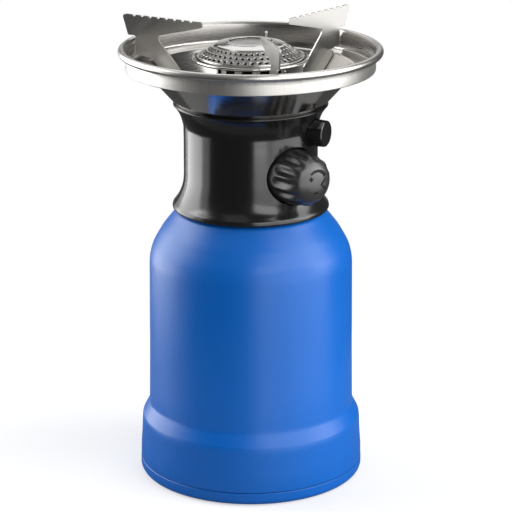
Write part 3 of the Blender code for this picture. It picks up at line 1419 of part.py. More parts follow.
def blade_outline():
    """Side view of a pan support, as (radius, height)."""
    top = BEAD_TOP + BLADE_RISE
    tip_top = top - BLADE_TILT
    low = top - BLADE_OUTER_DROP
    stem = BAND_BOTTOM_RADIUS - BOWL_WALL - BLADE_STEM_CLEARANCE
    foot_lift = BOWL_WALL + GAP + BLADE_THICKNESS / 2
    foot_low = BLADE_LEG_END_RADIUS
    foot_high = FOOT_TOP_RADIUS
    ledge = BAND_BOTTOM + BOWL_WALL
    leg_end = cone_height(foot_low, foot_lift)
    points = [
        (BLADE_TIP_RADIUS + BLADE_ROUND, tip_top - BLADE_TIP_DEPTH),
        (BLADE_TIP_RADIUS, tip_top - BLADE_TIP_DEPTH + BLADE_ROUND),
        (BLADE_TIP_RADIUS + BLADE_ROUND / 2, tip_top - BLADE_ROUND / 3),
        (BLADE_TIP_RADIUS + BLADE_ROUND * BLADE_ROUND_END_SHARE, tip_top),
    ]
    start = points[-1]
    end = (BLADE_END_RADIUS - BLADE_ROUND, top)
    points += blade_top(start, end)
    points += [
        end,
        (BLADE_END_RADIUS, top - BLADE_ROUND / 2),
        (BLADE_END_RADIUS, top - BLADE_ROUND * BLADE_ROUND_END_SHARE),
        (BLADE_UNDERCUT_RADIUS, low + BLADE_ROUND / 2),
        (BLADE_UNDERCUT_RADIUS - BLADE_ROUND, low),
        (stem + BLADE_ROUND, low),
        (stem, low - BLADE_ROUND / 2),
        (stem, ledge + BLADE_FOOT_LIFT * BLADE_STEM_FOOT_SHARE),
        (stem - BLADE_ROUND, ledge + BLADE_FOOT_LIFT),
        (foot_high + BLADE_ROUND, ledge + BLADE_FOOT_LIFT / 2),
        (foot_high, cone_height(foot_high, foot_lift)),
        (foot_low, leg_end),
        (foot_low, leg_end + BLADE_LEG_END_HEIGHT),
        (BLADE_LEG_RADIUS, top - BLADE_LEG_TOP_DROP - BLADE_ROUND * 2),
        (BLADE_LEG_RADIUS, top - BLADE_LEG_TOP_DROP),
    ]
    return points


def foot_outline():
    """Plan of a pan support's bent foot: along the slope, and away from the blade."""
    start = (BLADE_LEG_END_RADIUS - BOWL_FOOT_RADIUS) / math.cos(CONE_ANGLE)
    end = (FOOT_TOP_RADIUS - BOWL_FOOT_RADIUS) / math.cos(CONE_ANGLE)
    radius = FOOT_WIDTH / 2
    outline = [(start, 0.0), (end, 0.0)]
    for step in range(FOOT_END_STEPS + 1):
        angle = math.pi * (step / FOOT_END_STEPS - 0.5)
        outline.append((
            end + radius * math.cos(angle) * FOOT_END_SHARE,
            radius + radius * math.sin(angle),
        ))
    outline.append((start, FOOT_WIDTH))
    return outline[:2] + outline[3:]


def pan_support(frame, number, azimuth):
    """Sheet-steel blade with a leg, and a bent foot on the bowl's cone."""
    bm = bmesh.new()
    plane = radial_frame(azimuth, 0.0, 0.0)
    side = plane.to_3x3().col[2]
    plane.translation = -side * BLADE_THICKNESS / 2
    add_prism(bm, blade_outline(), plane, BLADE_THICKNESS)
    blade = finish("pan_support_%d" % number, bm, stainless(), frame)
    join(blade, support_foot(frame, number, azimuth))


def support_foot(frame, number, azimuth):
    """The bent foot, which follows the cone."""
    bm = bmesh.new()
    lift = BOWL_WALL + GAP
    outline = foot_outline()
    lower = [bm.verts.new(on_cone(azimuth, *place, lift)) for place in outline]
    lift += BLADE_THICKNESS
    upper = [bm.verts.new(on_cone(azimuth, *place, lift)) for place in outline]
    bm.faces.new(lower)
    bm.faces.new(upper)
    bridge(bm, lower, upper)
    bmesh.ops.triangulate(bm, faces=bm.faces)
    return finish("pan_support_foot_%d" % number, bm, None, frame)


def on_cone(azimuth, slant, across, lift):
    """A point over the bowl's cone: up its slope, round it, and square to it."""
    radius = BOWL_FOOT_RADIUS + slant * math.cos(CONE_ANGLE)
    height = BOWL_BOTTOM + slant * math.sin(CONE_ANGLE)
    around_axis = azimuth - across / radius
    return polar(
        radius - lift * math.sin(CONE_ANGLE), around_axis, height + lift * math.cos(CONE_ANGLE),
    )


def clear_scene():
    for made in list(bpy.data.objects):
        bpy.data.objects.remove(made, do_unlink=True)


def build():
    clear_scene()
    upright = (0.0, 0.0, 0.0)
    housing_frame = empty("base_twist_axis", 0.0, upright)
    cartridge_frame = empty("head_turn_axis", 0.0, upright)
    head = empty("head_rise_axis", 0.0, upright)
    knob_frame = empty("knob_turn_axis", KNOB_HEIGHT, (math.pi / 2, 0.0, 0.0))
    button_frame = empty(
        "button_push_axis", BUTTON_HEIGHT, (math.pi / 2, 0.0, BUTTON_AZIMUTH),
    )
    base_plate()
    cartridge_housing(housing_frame)
    neck_insert(housing_frame)
    gas_cartridge(cartridge_frame)
    collar(head, knob_frame, button_frame)
    valve_body(head, knob_frame)
    screws("valve_screw", head, VALVE_SCREW_RADIUS, VALVE_SCREW_AZIMUTH, FLANGE_TOP)
    piercing_needle(head)
    inlet_filter(head)
    cartridge_gasket(head)
    gas_jet(head)
    mixing_tube(head)
    gland_nut(knob_frame)
    spindle_o_ring(knob_frame)
    valve_spindle(knob_frame)
    control_knob(knob_frame)
    piezo_body(button_frame)
    piezo_button(button_frame)
    piezo_spring(button_frame)
    ignition_lead(head)
    electrode(head)
    bowl(head)
    bowl_nut(head)
    screws("bowl_screw", head, BOWL_SCREW_RADIUS, BOWL_SCREW_AZIMUTH, BOWL_FLOOR)
    burner_support(head)
    burner_pan(head)
    burner_crown(head)
    for number, azimuth in enumerate(around(SUPPORT_COUNT, SUPPORT_AZIMUTH)):
        pan_support(head, number + 1, azimuth)


build()
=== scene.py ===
import math

import bmesh
import bpy
from mathutils import Matrix, Vector
from mathutils.geometry import tessellate_polygon


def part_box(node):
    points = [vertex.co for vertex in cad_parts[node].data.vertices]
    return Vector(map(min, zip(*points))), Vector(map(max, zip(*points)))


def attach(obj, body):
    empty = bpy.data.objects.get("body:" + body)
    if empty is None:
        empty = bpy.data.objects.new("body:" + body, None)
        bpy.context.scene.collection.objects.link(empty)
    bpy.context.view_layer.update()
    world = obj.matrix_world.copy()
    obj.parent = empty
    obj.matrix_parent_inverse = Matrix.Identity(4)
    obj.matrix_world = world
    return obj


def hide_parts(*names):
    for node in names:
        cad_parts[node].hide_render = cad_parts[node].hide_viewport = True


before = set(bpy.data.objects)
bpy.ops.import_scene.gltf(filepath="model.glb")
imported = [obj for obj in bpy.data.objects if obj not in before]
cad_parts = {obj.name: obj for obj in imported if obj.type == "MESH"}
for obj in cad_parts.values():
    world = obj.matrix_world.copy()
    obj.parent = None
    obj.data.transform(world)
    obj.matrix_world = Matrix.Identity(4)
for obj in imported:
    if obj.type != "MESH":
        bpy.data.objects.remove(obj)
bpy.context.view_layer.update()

mm = 0.001


# The camera, at the photograph's angle: a long lens a metre away that looks
# down a little on the bowl, with the knob turned to the right of the lens.
camera_turn = math.radians(-39.0)
camera_pitch = math.radians(17.28)
camera_distance = 1.0
camera_height = 414.5 * mm
camera_offset = 2.39 * mm
lens_to_frame = 4.3995
sensor = 36.0

to_right = Vector((math.cos(camera_turn), math.sin(camera_turn), 0.0))
to_camera = Vector((math.sin(camera_turn), -math.cos(camera_turn), 0.0))


def add_object(name, data):
    """A new object in the scene."""
    made = bpy.data.objects.new(name, data)
    bpy.context.collection.objects.link(made)
    return made


camera = add_object("camera", bpy.data.cameras.new("camera"))
camera.location = to_right * camera_offset + to_camera * camera_distance
camera.location.z = camera_height
camera.rotation_euler = (math.pi / 2 - camera_pitch, 0.0, camera_turn)
camera.data.sensor_width = sensor
camera.data.lens = lens_to_frame * sensor
camera.data.clip_start = 0.01
bpy.context.scene.camera = camera
bpy.context.scene.view_settings.view_transform = "Standard"


# The studio: a white backdrop behind the stove, a pale table under it, and a dim
# room around. Tall soft boxes stand at both sides, each given by the angles and
# heights that it fills, and four hang higher up, aimed down at the stove.
table_radius = 0.20
table_height = -0.02 * mm
table_sides = 96
table_tone = 0.50
table_in_gloss = 0.11
table_glow = 0.05
table_in_view = 0.45
room_light = 0.0
room_gloss = 0.07
backdrop_gloss = 0.70
backdrop_width = math.radians(20.0)
box_distance = 1.0
aim_height = 0.17
tall_boxes = {           # from, to in degrees, low, high in metres, brightness
    "left_box": (-136.0, -90.0, -0.20, 0.92, 4.5),
    "left_end": (-148.0, -137.0, -0.20, 0.70, 1.2),
    "left_fill": (-89.0, -74.0, -0.24, 0.92, 1.3),
    "right_near": (5.5, 35.0, -0.26, 0.55, 1.85),
    "right_far": (36.0, 95.0, -0.28, 0.55, 2.35),
    "right_card": (6.0, 27.0, -0.19, -0.12, 3.6),
    "right_upper": (5.5, 80.0, 0.56, 1.02, 3.7),
    "right_end": (76.0, 106.0, 0.14, 1.20, 3.4),
    "left_upper": (-130.0, -80.0, 0.70, 1.35, 2.8),
}
high_boxes = {           # azimuth in degrees, reach, height, size in metres, brightness
    "lens_box": (-30.0, 0.75, 1.30, 0.70, 0.35),
    "over_box": (0.0, 0.0, 1.40, 0.80, 0.18),
    "back_top": (180.0, 0.69, 0.97, 0.94, 1.3),
    "right_top": (70.0, 0.60, 1.25, 0.75, 2.8),
}


def towards(azimuth):
    """The level direction at an angle from the camera's, counted to the right."""
    return to_right * math.sin(azimuth) + to_camera * math.cos(azimuth)


def soft_box(name, width, height, glow, place, aim):
    """A rectangular box with an even face; glow is the face's brightness."""
    lamp = bpy.data.lights.new(name, "AREA")
    lamp.shape = "RECTANGLE"
    lamp.size = width
    lamp.size_y = height
    lamp.energy = math.pi * width * height * glow
    made = add_object(name, lamp)
    made.location = place
    made.rotation_euler = (aim - place).to_track_quat("-Z", "Y").to_euler()
    made.visible_camera = False


def feed(tree, node, inputs):
    """Set a node's inputs to values, or link them to sockets or to other nodes' first outputs."""
    for label, value in inputs.items():
        if isinstance(value, bpy.types.Node):
            value = value.outputs[0]
        if isinstance(value, bpy.types.NodeSocket):
            tree.links.new(value, node.inputs[label])
        else:
            node.inputs[label].default_value = value


def add_node(tree, kind, inputs=(), **options):
    """Add a node with its options, such as its operation, and feed its inputs."""
    node = tree.nodes.new(kind)
    for label, value in options.items():
        setattr(node, label, value)
    feed(tree, node, dict(inputs))
    return node


def step_of(tree, operation, *values):
    """One maths step in a tree; values are numbers or sockets."""
    return add_node(tree, "ShaderNodeMath", dict(enumerate(values)), operation=operation).outputs[0]


def mapped(tree, value, low, high, to_low, to_high, **options):
    """A value remapped from one range to another, with the ends held."""
    ends = {"Value": value, "From Min": low, "From Max": high, "To Min": to_low, "To Max": to_high}
    return add_node(tree, "ShaderNodeMapRange", ends, **options).outputs["Result"]


def rays(tree):
    """Two switches: seen by the camera itself, and seen in or through something shiny."""
    path = add_node(tree, "ShaderNodeLightPath").outputs
    by_gloss = step_of(tree, "MAXIMUM", path["Is Glossy Ray"], path["Is Transmission Ray"])
    return path["Is Camera Ray"], by_gloss


def new_surface(name):
    """A material, with its tree and its shader."""
    surface = bpy.data.materials.new(name)
    surface.use_nodes = True
    return surface, surface.node_tree, surface.node_tree.nodes["Principled BSDF"]


for name, (start, end, low, high, glow) in tall_boxes.items():
    half = math.radians(end - start) / 2
    level = Vector((0.0, 0.0, (low + high) / 2))
    stood = towards(math.radians(start) + half) * box_distance + level
    soft_box(name, 2 * box_distance * math.tan(half), high - low, glow, stood, level)
for name, (azimuth, reach, height, size, glow) in high_boxes.items():
    hung = towards(math.radians(azimuth)) * reach + Vector((0.0, 0.0, height))
    soft_box(name, size, size, glow, hung, Vector((0.0, 0.0, aim_height)))

world = bpy.data.worlds.new("studio")
bpy.context.scene.world = world
world.use_nodes = True
room = world.node_tree
direction = add_node(room, "ShaderNodeTexCoord").outputs["Generated"]
behind = add_node(room, "ShaderNodeVectorMath", {0: direction, 1: -to_camera}, operation="DOT_PRODUCT")
backdrop = mapped(
    room, behind.outputs["Value"], math.cos(backdrop_width), math.cos(backdrop_width / 5),
    room_gloss, backdrop_gloss, interpolation_type="SMOOTHSTEP",
)
by_camera, by_gloss = rays(room)
around = add_node(room, "ShaderNodeMix", {"Factor": by_gloss, "A": room_light, "B": backdrop})
seen = add_node(room, "ShaderNodeMix", {"Factor": by_camera, "A": around.outputs["Result"], "B": 1.0})
feed(room, room.nodes["Background"], {"Strength": seen.outputs["Result"], "Color": (1.0, 1.0, 1.0, 1.0)})

table_corners = [math.tau * k / table_sides for k in range(table_sides)]
table_mesh = bpy.data.meshes.new("table_top")
table_mesh.from_pydata(
    [(table_radius * math.cos(t), table_radius * math.sin(t), table_height) for t in table_corners],
    [], [tuple(range(table_sides))],
)
table = add_object("table_top", table_mesh)
table_paint, table_tree, table_shader = new_surface("table_paint")
by_camera, by_gloss = rays(table_tree)
pale, dark = [(tone, tone, tone, 1.0) for tone in (table_tone, table_in_gloss)]
table_colour = add_node(table_tree, "ShaderNodeMix", {0: by_gloss, 6: pale, 7: dark}, data_type="RGBA")
feed(table_tree, table_shader, {
    "Base Color": table_colour.outputs[2],
    "Roughness": 0.9,
    "Specular IOR Level": 0.0,
    "Emission Color": (1.0, 1.0, 1.0, 1.0),
    "Emission Strength": step_of(table_tree, "MULTIPLY_ADD", by_camera, table_in_view, table_glow),
})
table_mesh.materials.append(table_paint)


# The base plate, a moulded bottom in the housing's own blue. It stands on a
# ring and a middle pad, and three lugs on its spigot lock the housing down.
round_steps = 176
base_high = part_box("base_plate")[1]
base_radius = base_high.x
base_edge = 3.0 * mm
rim_top = 6.0 * mm
spigot_radius = 48.0 * mm
spigot_inner = spigot_radius - 2.0 * mm
spigot_edge = 0.4 * mm
ring_radius = 43.0 * mm
pad_radius = 18.0 * mm
recess = 1.2 * mm
plate_floor = 3.4 * mm
seat_outer = 43.3 * mm
seat_inner = 40.3 * mm
seat_top = 4.2 * mm
lug_low = 12.3 * mm
lug_high = 15.3 * mm
lug_half_angle = math.radians(9.0)
blue = (0.0005, 0.113, 0.482)


def arc(centre, radius, start, end, steps):
    """Points (radius, height) along an arc, with its angles in degrees."""
    turns = [math.radians(start + (end - start) * step / steps) for step in range(steps + 1)]
    return [(centre[0] + radius * math.cos(t), centre[1] + radius * math.sin(t)) for t in turns]


def polar(radius, azimuth, height):
    """A point whose azimuth is counted from -Y, the knob's side, towards +X."""
    return Vector((radius * math.sin(azimuth), -radius * math.cos(azimuth), height))


def join_rings(bm, rings, closed=False):
    """Fill the strips between rings of points; a ring of one point closes a strip to a cap."""
    made = []
    for low, high in zip(rings, rings[1:] + rings[:1] if closed else rings[1:]):
        steps = max(len(low), len(high))
        for k in range(steps):
            here, after = k, (k + 1) % steps
            spots = ((low, here), (low, after), (high, after), (high, here))
            corners = list(dict.fromkeys(ring[spot % len(ring)] for ring, spot in spots))
            if len(corners) > 2:
                made.append(bm.faces.new(corners))
    return made


def add_turned(bm, outline, steps=round_steps, closed=True):
    """Turn an outline (radius, height) about the stove's axis."""
    rings = []
    for radius, height in outline:
        count = 1 if radius < 1e-7 else steps
        rings.append([bm.verts.new(polar(radius, math.tau * k / steps, height)) for k in range(count)])
    join_rings(bm, rings, closed)


def as_object(name, bm):
    """Make an object of a mesh that is done with."""
    mesh = bpy.data.meshes.new(name)
    bm.to_mesh(mesh)
    bm.free()
    return add_object(name, mesh)


def piece(name, bm, surface, sharp=32.0):
    """Make a piece of a mesh, with merged points, outward faces and smooth shading."""
    bmesh.ops.remove_doubles(bm, verts=bm.verts, dist=1e-7)
    bmesh.ops.recalc_face_normals(bm, faces=bm.faces)
    made = as_object(name, bm)
    made.data.shade_smooth()
    made.data.set_sharp_from_angle(angle=math.radians(sharp))
    made.data.materials.append(surface)
    return made


def add_lugs(bm, inner, outer, low, high, half_angle):
    """Three closed pieces of a ring, at equal steps around the axis."""
    steps = 8
    corners = ((inner, low), (outer, low), (outer, high), (inner, high))
    for lug in range(3):
        rings = []
        for k in range(steps + 1):
            turn = math.tau * lug / 3 + half_angle * (2 * k / steps - 1)
            rings.append([bm.verts.new(polar(radius, turn, height)) for radius, height in corners])
        join_rings(bm, rings)
        bm.faces.new(rings[0])
        bm.faces.new(rings[-1])


def effect_group(name, inputs):
    """An empty shader group with named inputs that puts out a height, a roughness and a tone."""
    group = bpy.data.node_groups.new(name, "ShaderNodeTree")
    for side, labels in (("INPUT", inputs), ("OUTPUT", ("Height", "Roughness", "Tone"))):
        for label in labels:
            group.interface.new_socket(label, in_out=side, socket_type="NodeSocketFloat")
    return group, group.nodes.new("NodeGroupInput").outputs, group.nodes.new("NodeGroupOutput")


def noise(tree, scale, detail, coordinates):
    """The value of a noise over the coordinates."""
    inputs = {"Scale": scale, "Detail": detail, "Vector": coordinates}
    return add_node(tree, "ShaderNodeTexNoise", inputs).outputs["Fac"]


# How a moulding looks: a fine eroded texture from the mould, faint flow marks
# in its tone, and patches that hands have polished.
moulding, moulding_in, moulding_out = effect_group(
    "moulded_plastic", ("Texture Scale", "Roughness", "Polish", "Tone Change"))
own = add_node(moulding, "ShaderNodeTexCoord").outputs["Object"]
hands = mapped(moulding, noise(moulding, 26.0, 4.0, own), 0.35, 0.65, -1.0, 1.0)
flow = mapped(moulding, noise(moulding, 9.0, 2.0, own), 0.3, 0.7, -1.0, 1.0)
feed(moulding, moulding_out, {
    "Height": noise(moulding, moulding_in["Texture Scale"], 3.0, own),
    "Roughness": step_of(moulding, "MULTIPLY_ADD", hands, moulding_in["Polish"], moulding_in["Roughness"]),
    "Tone": step_of(moulding, "MULTIPLY_ADD", flow, moulding_in["Tone Change"], 1.0),
})


def finish(name, group, colour, settings, depth, fixed):
    """A material whose tone, roughness and relief come from a group with these settings."""
    surface, tree, shader = new_surface(name)
    look = add_node(tree, "ShaderNodeGroup", dict(enumerate(settings)), node_tree=group).outputs
    toned = add_node(tree, "ShaderNodeVectorMath", {0: colour, "Scale": look["Tone"]}, operation="SCALE")
    bumped = add_node(tree, "ShaderNodeBump", {"Height": look["Height"], "Distance": depth})
    feed(tree, shader, {
        "Base Color": toned, "Roughness": look["Roughness"], "Normal": bumped, **fixed,
    })
    return surface


def plastic(name, colour, settings, depth, gloss=0.5):
    """A moulding: its texture's scale, roughness, polish and change of tone, and its skin's gloss."""
    return finish(name, moulding, colour, settings, depth, {"Specular IOR Level": gloss})


blue_moulding = plastic("blue_moulding", blue, (1400.0, 0.35, 0.03, 0.03), 0.03 * mm, 0.42)

plate_outline = [
    (0.0, 0.0), (pad_radius, 0.0),
    *arc((pad_radius, recess / 2), recess / 2, -90.0, 0.0, 3)[1:],
    (pad_radius + recess, recess), (ring_radius - recess, recess),
    *arc((ring_radius, recess / 2), recess / 2, 180.0, 270.0, 3),
    *arc((base_radius - base_edge, base_edge), base_edge, -90.0, 0.0, 12),
    (base_radius - 0.05 * mm, rim_top - 0.25 * mm), (base_radius - 0.3 * mm, rim_top),
    (spigot_radius, rim_top), (spigot_radius, base_high.z - spigot_edge),
    (spigot_radius - spigot_edge, base_high.z), (spigot_inner, base_high.z),
    (spigot_inner, plate_floor), (seat_outer, plate_floor), (seat_outer, seat_top),
    (seat_inner, seat_top), (seat_inner, plate_floor), (0.0, plate_floor),
]
plate = bmesh.new()
add_turned(plate, plate_outline)
add_lugs(plate, spigot_radius - 0.6 * mm, spigot_radius + 1.6 * mm, lug_low, lug_high, lug_half_angle)
base = piece("base_plate_moulding", plate, blue_moulding)
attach(base, "base")
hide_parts("base_plate")


# The cartridge housing: one blue moulding with a skirt, a straight side with a
# little draft, a domed shoulder and the neck that the burner head screws into.
housing_low, housing_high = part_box("cartridge_housing")
seam = housing_low.z
housing_top = housing_high.z
wall = 1.6 * mm
neck_inner = 18.3 * mm
neck_outer = 20.2 * mm
neck_low = housing_top - 9.7 * mm
neck_edge = 0.3 * mm
skirt_foot = 51.9 * mm
dome_end = 33.0 * mm
catch_inner = 48.3 * mm
catch_outer = 50.6 * mm
catch_half_angle = math.radians(11.0)
skirt_side = [(52.15, 6.4), (52.05, 12.0), (51.6, 18.0), (51.35, 24.0)]
skirt_turn = [
    (51.25, 25.8), (51.0, 27.4), (50.5, 28.5), (49.8, 29.85), (49.1, 31.2), (48.4, 32.5), (47.98, 33.7),
    (47.83, 36.0),
]
straight_side = [(47.83, 36.0), (47.45, 60.0), (47.05, 101.0)]
dome_side = [
    (47.05, 101.0), (46.8, 104.6), (45.75, 109.0), (44.4, 112.0), (42.7, 115.0), (40.9, 118.0),
    (38.6, 121.0), (36.2, 124.0), (34.6, 126.2), (33.4, 127.1),
]


def scaled(points):
    """Points given in millimetres."""
    return [(radius * mm, height * mm) for radius, height in points]


def smooth(points, steps):
    """A Catmull-Rom curve through (radius, height) points."""
    first = (2 * points[0][0] - points[1][0], 2 * points[0][1] - points[1][1])
    last = (2 * points[-1][0] - points[-2][0], 2 * points[-1][1] - points[-2][1])
    padded = [Vector(p) for p in (first, *points, last)]
    curve = []
    for a, b, c, d in zip(padded, padded[1:], padded[2:], padded[3:]):
        for step in range(steps):
            t = step / steps
            bend = (2 * a - 5 * b + 4 * c - d) * t * t + (3 * b - a - 3 * c + d) * t ** 3
            curve.append(tuple(0.5 * (2 * b + (c - a) * t + bend)))
    return curve + [points[-1]]


housing_outline = [
    (skirt_foot, seam), (52.15 * mm, seam + 0.25 * mm),
    *smooth(scaled(skirt_side), 2), *smooth(scaled(skirt_turn), 4),
    *scaled(straight_side)[1:-1], *smooth(scaled(dome_side), 4),
    (dome_end, housing_top), (neck_inner + neck_edge, housing_top),
    (neck_inner, housing_top - neck_edge), (neck_inner, neck_low), (neck_outer, neck_low),
    (neck_outer, housing_top - wall), (dome_end - wall / 2, housing_top - wall),
    *[(r - wall * 0.8, z - wall * 0.5) for r, z in reversed(scaled(dome_side)[1:-1])],
    *[(r - wall, z) for r, z in reversed(scaled(straight_side))],
    *[(r - wall, z - wall / 2) for r, z in reversed(scaled(skirt_turn)[:-1])],
    (skirt_foot - wall, seam),
]
shell = bmesh.new()
add_turned(shell, housing_outline)
add_lugs(shell, catch_inner, catch_outer, seam + 2.3 * mm, seam + 5.7 * mm, catch_half_angle)
housing = piece("cartridge_housing_moulding", shell, blue_moulding)
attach(housing, "housing")
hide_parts("cartridge_housing")


# The collar: glossy black plastic, flared at its foot to sit on the dome and
# at its lip to carry the bowl's cone. Knob and igniter come out of its front.
collar_low, collar_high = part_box("collar")
web_top = collar_high.z
knob_height = 148.4 * mm
knob_hole = 13.3 * mm
knob_hole_start = 24.0 * mm
past_collar = 40.0 * mm
button_turn = math.radians(25.0)
button_height = 166.1 * mm
button_bore = 6.5 * mm
button_bore_start = 12.0 * mm
sleeve_outer = 7.7 * mm
sleeve_start = 16.0 * mm
sleeve_end = 30.3 * mm
lip_top = 177.0 * mm
web_under = 171.8 * mm
tube_hole = 8.4 * mm
screw_circle = 24.0 * mm
screw_turn = 63.0
screw_hole = 1.8 * mm
hole_top = 176.2 * mm
electrode_hole = (27.9 * mm, math.radians(126.0), 2.6 * mm)
foot_side = [
    (34.6, 127.5), (35.6, 127.75), (36.0, 128.3), (36.05, 129.0), (35.75, 130.0), (34.6, 131.5),
    (33.6, 133.0), (32.6, 135.0), (31.75, 137.2), (31.05, 140.2), (30.75, 144.0),
]
flare_side = [
    (30.7, 160.0), (30.75, 163.0), (30.8, 166.0), (31.15, 168.0), (31.7, 170.0), (32.4, 171.9),
    (33.1, 173.3),
]
lip_side = [
    (33.1, 173.3), (33.7, 174.2), (34.4, 175.2), (35.0, 175.9), (35.35, 176.3), (35.4, 176.6),
    (35.2, 176.9),
]
collar_inside = [
    (31.0, 171.8), (29.0, 165.0), (29.0, 132.3), (15.2, 132.3), (15.2, 129.3), (33.35, 129.3),
]
black = (0.0075, 0.0075, 0.0078)


def turned(name, outline, surface):
    """A piece turned about the stove's axis."""
    bm = bmesh.new()
    add_turned(bm, outline)
    return piece(name, bm, surface)


def level_place(azimuth, distance, height):
    """The move that lays the axis level, with its foot at a distance and a height."""
    along = polar(1.0, azimuth, 0.0)
    foot = along * distance + Vector((0.0, 0.0, height))
    return Matrix.Translation(foot) @ along.to_track_quat("Z", "Y").to_matrix().to_4x4()


def bar(name, radius, length, place, sides):
    """A round bar about its own middle, as a tool."""
    bm = bmesh.new()
    bmesh.ops.create_cone(
        bm, cap_ends=True, segments=sides, radius1=radius, radius2=radius, depth=length, matrix=place,
    )
    return as_object(name, bm)


def level_bar(name, radius, start, end, height, azimuth):
    """A level bar from one distance off the axis to another."""
    return bar(name, radius, end - start, level_place(azimuth, (start + end) / 2, height), 96)


def upright_bars(places, low, high):
    """Upright bars, each at (radius, azimuth, its own radius)."""
    bars = []
    for radius, azimuth, size in places:
        middle = Matrix.Translation(polar(radius, azimuth, (low + high) / 2))
        bars.append(bar("upright_hole", size, high - low, middle, 32))
    return bars


def evaluated(target):
    """The mesh of an object with its modifiers applied."""
    graph = bpy.context.evaluated_depsgraph_get()
    return bpy.data.meshes.new_from_object(target.evaluated_get(graph))


def bake(target, sharp=32.0):
    """Turn an object's modifiers into its plain mesh."""
    mesh = evaluated(target)
    target.modifiers.clear()
    target.data = mesh
    mesh.shade_smooth()
    mesh.set_sharp_from_angle(angle=math.radians(sharp))


def carve(target, tools, operation="DIFFERENCE"):
    """Apply exact Booleans and drop the tools."""
    for tool in tools:
        step = target.modifiers.new(tool.name, "BOOLEAN")
        step.operation = operation
        step.solver = "EXACT"
        step.object = tool
    bake(target)
    for tool in tools:
        bpy.data.objects.remove(tool, do_unlink=True)


black_moulding = plastic("black_moulding", black, (420.0, 0.18, 0.03, 0.06), 0.004 * mm, 0.65)
collar_outline = [
    *smooth(scaled(foot_side), 3), *smooth(scaled(flare_side), 3), *smooth(scaled(lip_side), 3)[1:],
    (34.9 * mm, lip_top), (34.6 * mm, lip_top), (32.2 * mm, web_top), (tube_hole, web_top),
    (tube_hole, web_under), *scaled(collar_inside), (33.35 * mm, collar_low.z),
]
collar = turned("collar_moulding", collar_outline, black_moulding)
for name, radius, start, end, height, azimuth, operation in (
    ("knob_hole", knob_hole, knob_hole_start, past_collar, knob_height, 0.0, "DIFFERENCE"),
    ("sleeve", sleeve_outer, sleeve_start, sleeve_end, button_height, button_turn, "UNION"),
    ("button_bore", button_bore, button_bore_start, past_collar, button_height, button_turn, "DIFFERENCE"),
):
    carve(collar, [level_bar(name, radius, start, end, height, azimuth)], operation)
web_holes = [(screw_circle, math.radians(screw_turn + 120.0 * k), screw_hole) for k in range(3)]
web_holes.append(electrode_hole)
carve(collar, upright_bars(web_holes, web_under - 1.0 * mm, hole_top))
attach(collar, "head")
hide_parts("collar")


# The control knob: satin black plastic, with fourteen long scoops for the
# fingers and small marks for more and less gas, raised and printed in black, on
# its round face. It is pushed on the valve's spindle.
scoops = 14
knob_steps = scoops * 18
scoop_depth = 1.5 * mm
scoop_start = 30.3 * mm
scoop_end = 44.6 * mm
knob_side = [
    (11.6, 24.0), (12.1, 24.3), (12.4, 25.2), (12.4, 30.0), (12.4, 35.0), (12.3, 37.4),
    (12.0, 39.8), (11.3, 42.0), (10.2, 43.7), (8.8, 45.1), (7.0, 46.2), (4.8, 47.0),
    (2.4, 47.4), (0.0, 47.5),
]
knob_outline = smooth(scaled(knob_side), 5)
knob_bore = [(8.0, 24.0), (8.0, 30.8), (2.3, 30.8), (2.3, 39.1), (0.0, 39.1)]
mark_height = 0.25 * mm
sweep = [math.radians(128.0 - 12.0 * k) for k in range(9)]
marks = [                # points of each line and its width at them, in millimetres
    ([(5.7 * math.cos(t), 5.7 * math.sin(t)) for t in sweep], [0.6 + 0.16 * k for k in range(9)]),
    ([(-4.6, 2.4), (-3.6, 2.4), (-2.6, 2.4)], [0.7, 0.7, 0.7]),
    ([(-3.6, 3.4), (-3.6, 2.4), (-3.6, 1.4)], [0.7, 0.7, 0.7]),
    ([(-1.8, -4.2), (-0.7, -4.2), (0.4, -4.2)], [0.7, 0.7, 0.7]),
    ([(5.2, 1.9), (3.5, 0.6), (1.9, -0.6), (3.4, -1.9), (5.0, -3.2)], [0.5, 0.7, 0.8, 0.7, 0.5]),
]


def scoop_at(turn, along):
    """How deep the surface sinks at a turn and a distance along the knob's axis."""
    middle = (scoop_start + scoop_end) / 2
    reach = (scoop_end - scoop_start) / 2
    ahead = min(1.0, abs(along - middle) / reach)
    return scoop_depth * (0.5 + 0.5 * math.cos(turn * scoops)) ** 0.8 * (1.0 - ahead ** 2.6)


def knob_rings(bm, outline, scooped):
    """Rings of points about the knob's axis, sunk where it is scooped."""
    rings = []
    for radius, along in outline:
        ring = []
        for k in range(knob_steps if radius > 1e-7 else 1):
            turn = math.tau * k / knob_steps
            reach = radius - scoop_at(turn, along) if scooped else radius
            up = reach * math.sin(turn)
            ring.append(bm.verts.new((reach * math.cos(turn), -along, knob_height + up)))
        rings.append(ring)
    return rings


def face_at(across, up):
    """A point of the knob's round face, seen from its end."""
    away = math.hypot(across, up)
    for (outer, low), (inner, high) in zip(knob_outline, knob_outline[1:]):
        if inner <= away <= outer:
            share = (outer - away) / (outer - inner)
            return Vector((across, -(low + (high - low) * share), knob_height + up))
    return Vector((across, -knob_outline[-1][1], knob_height + up))


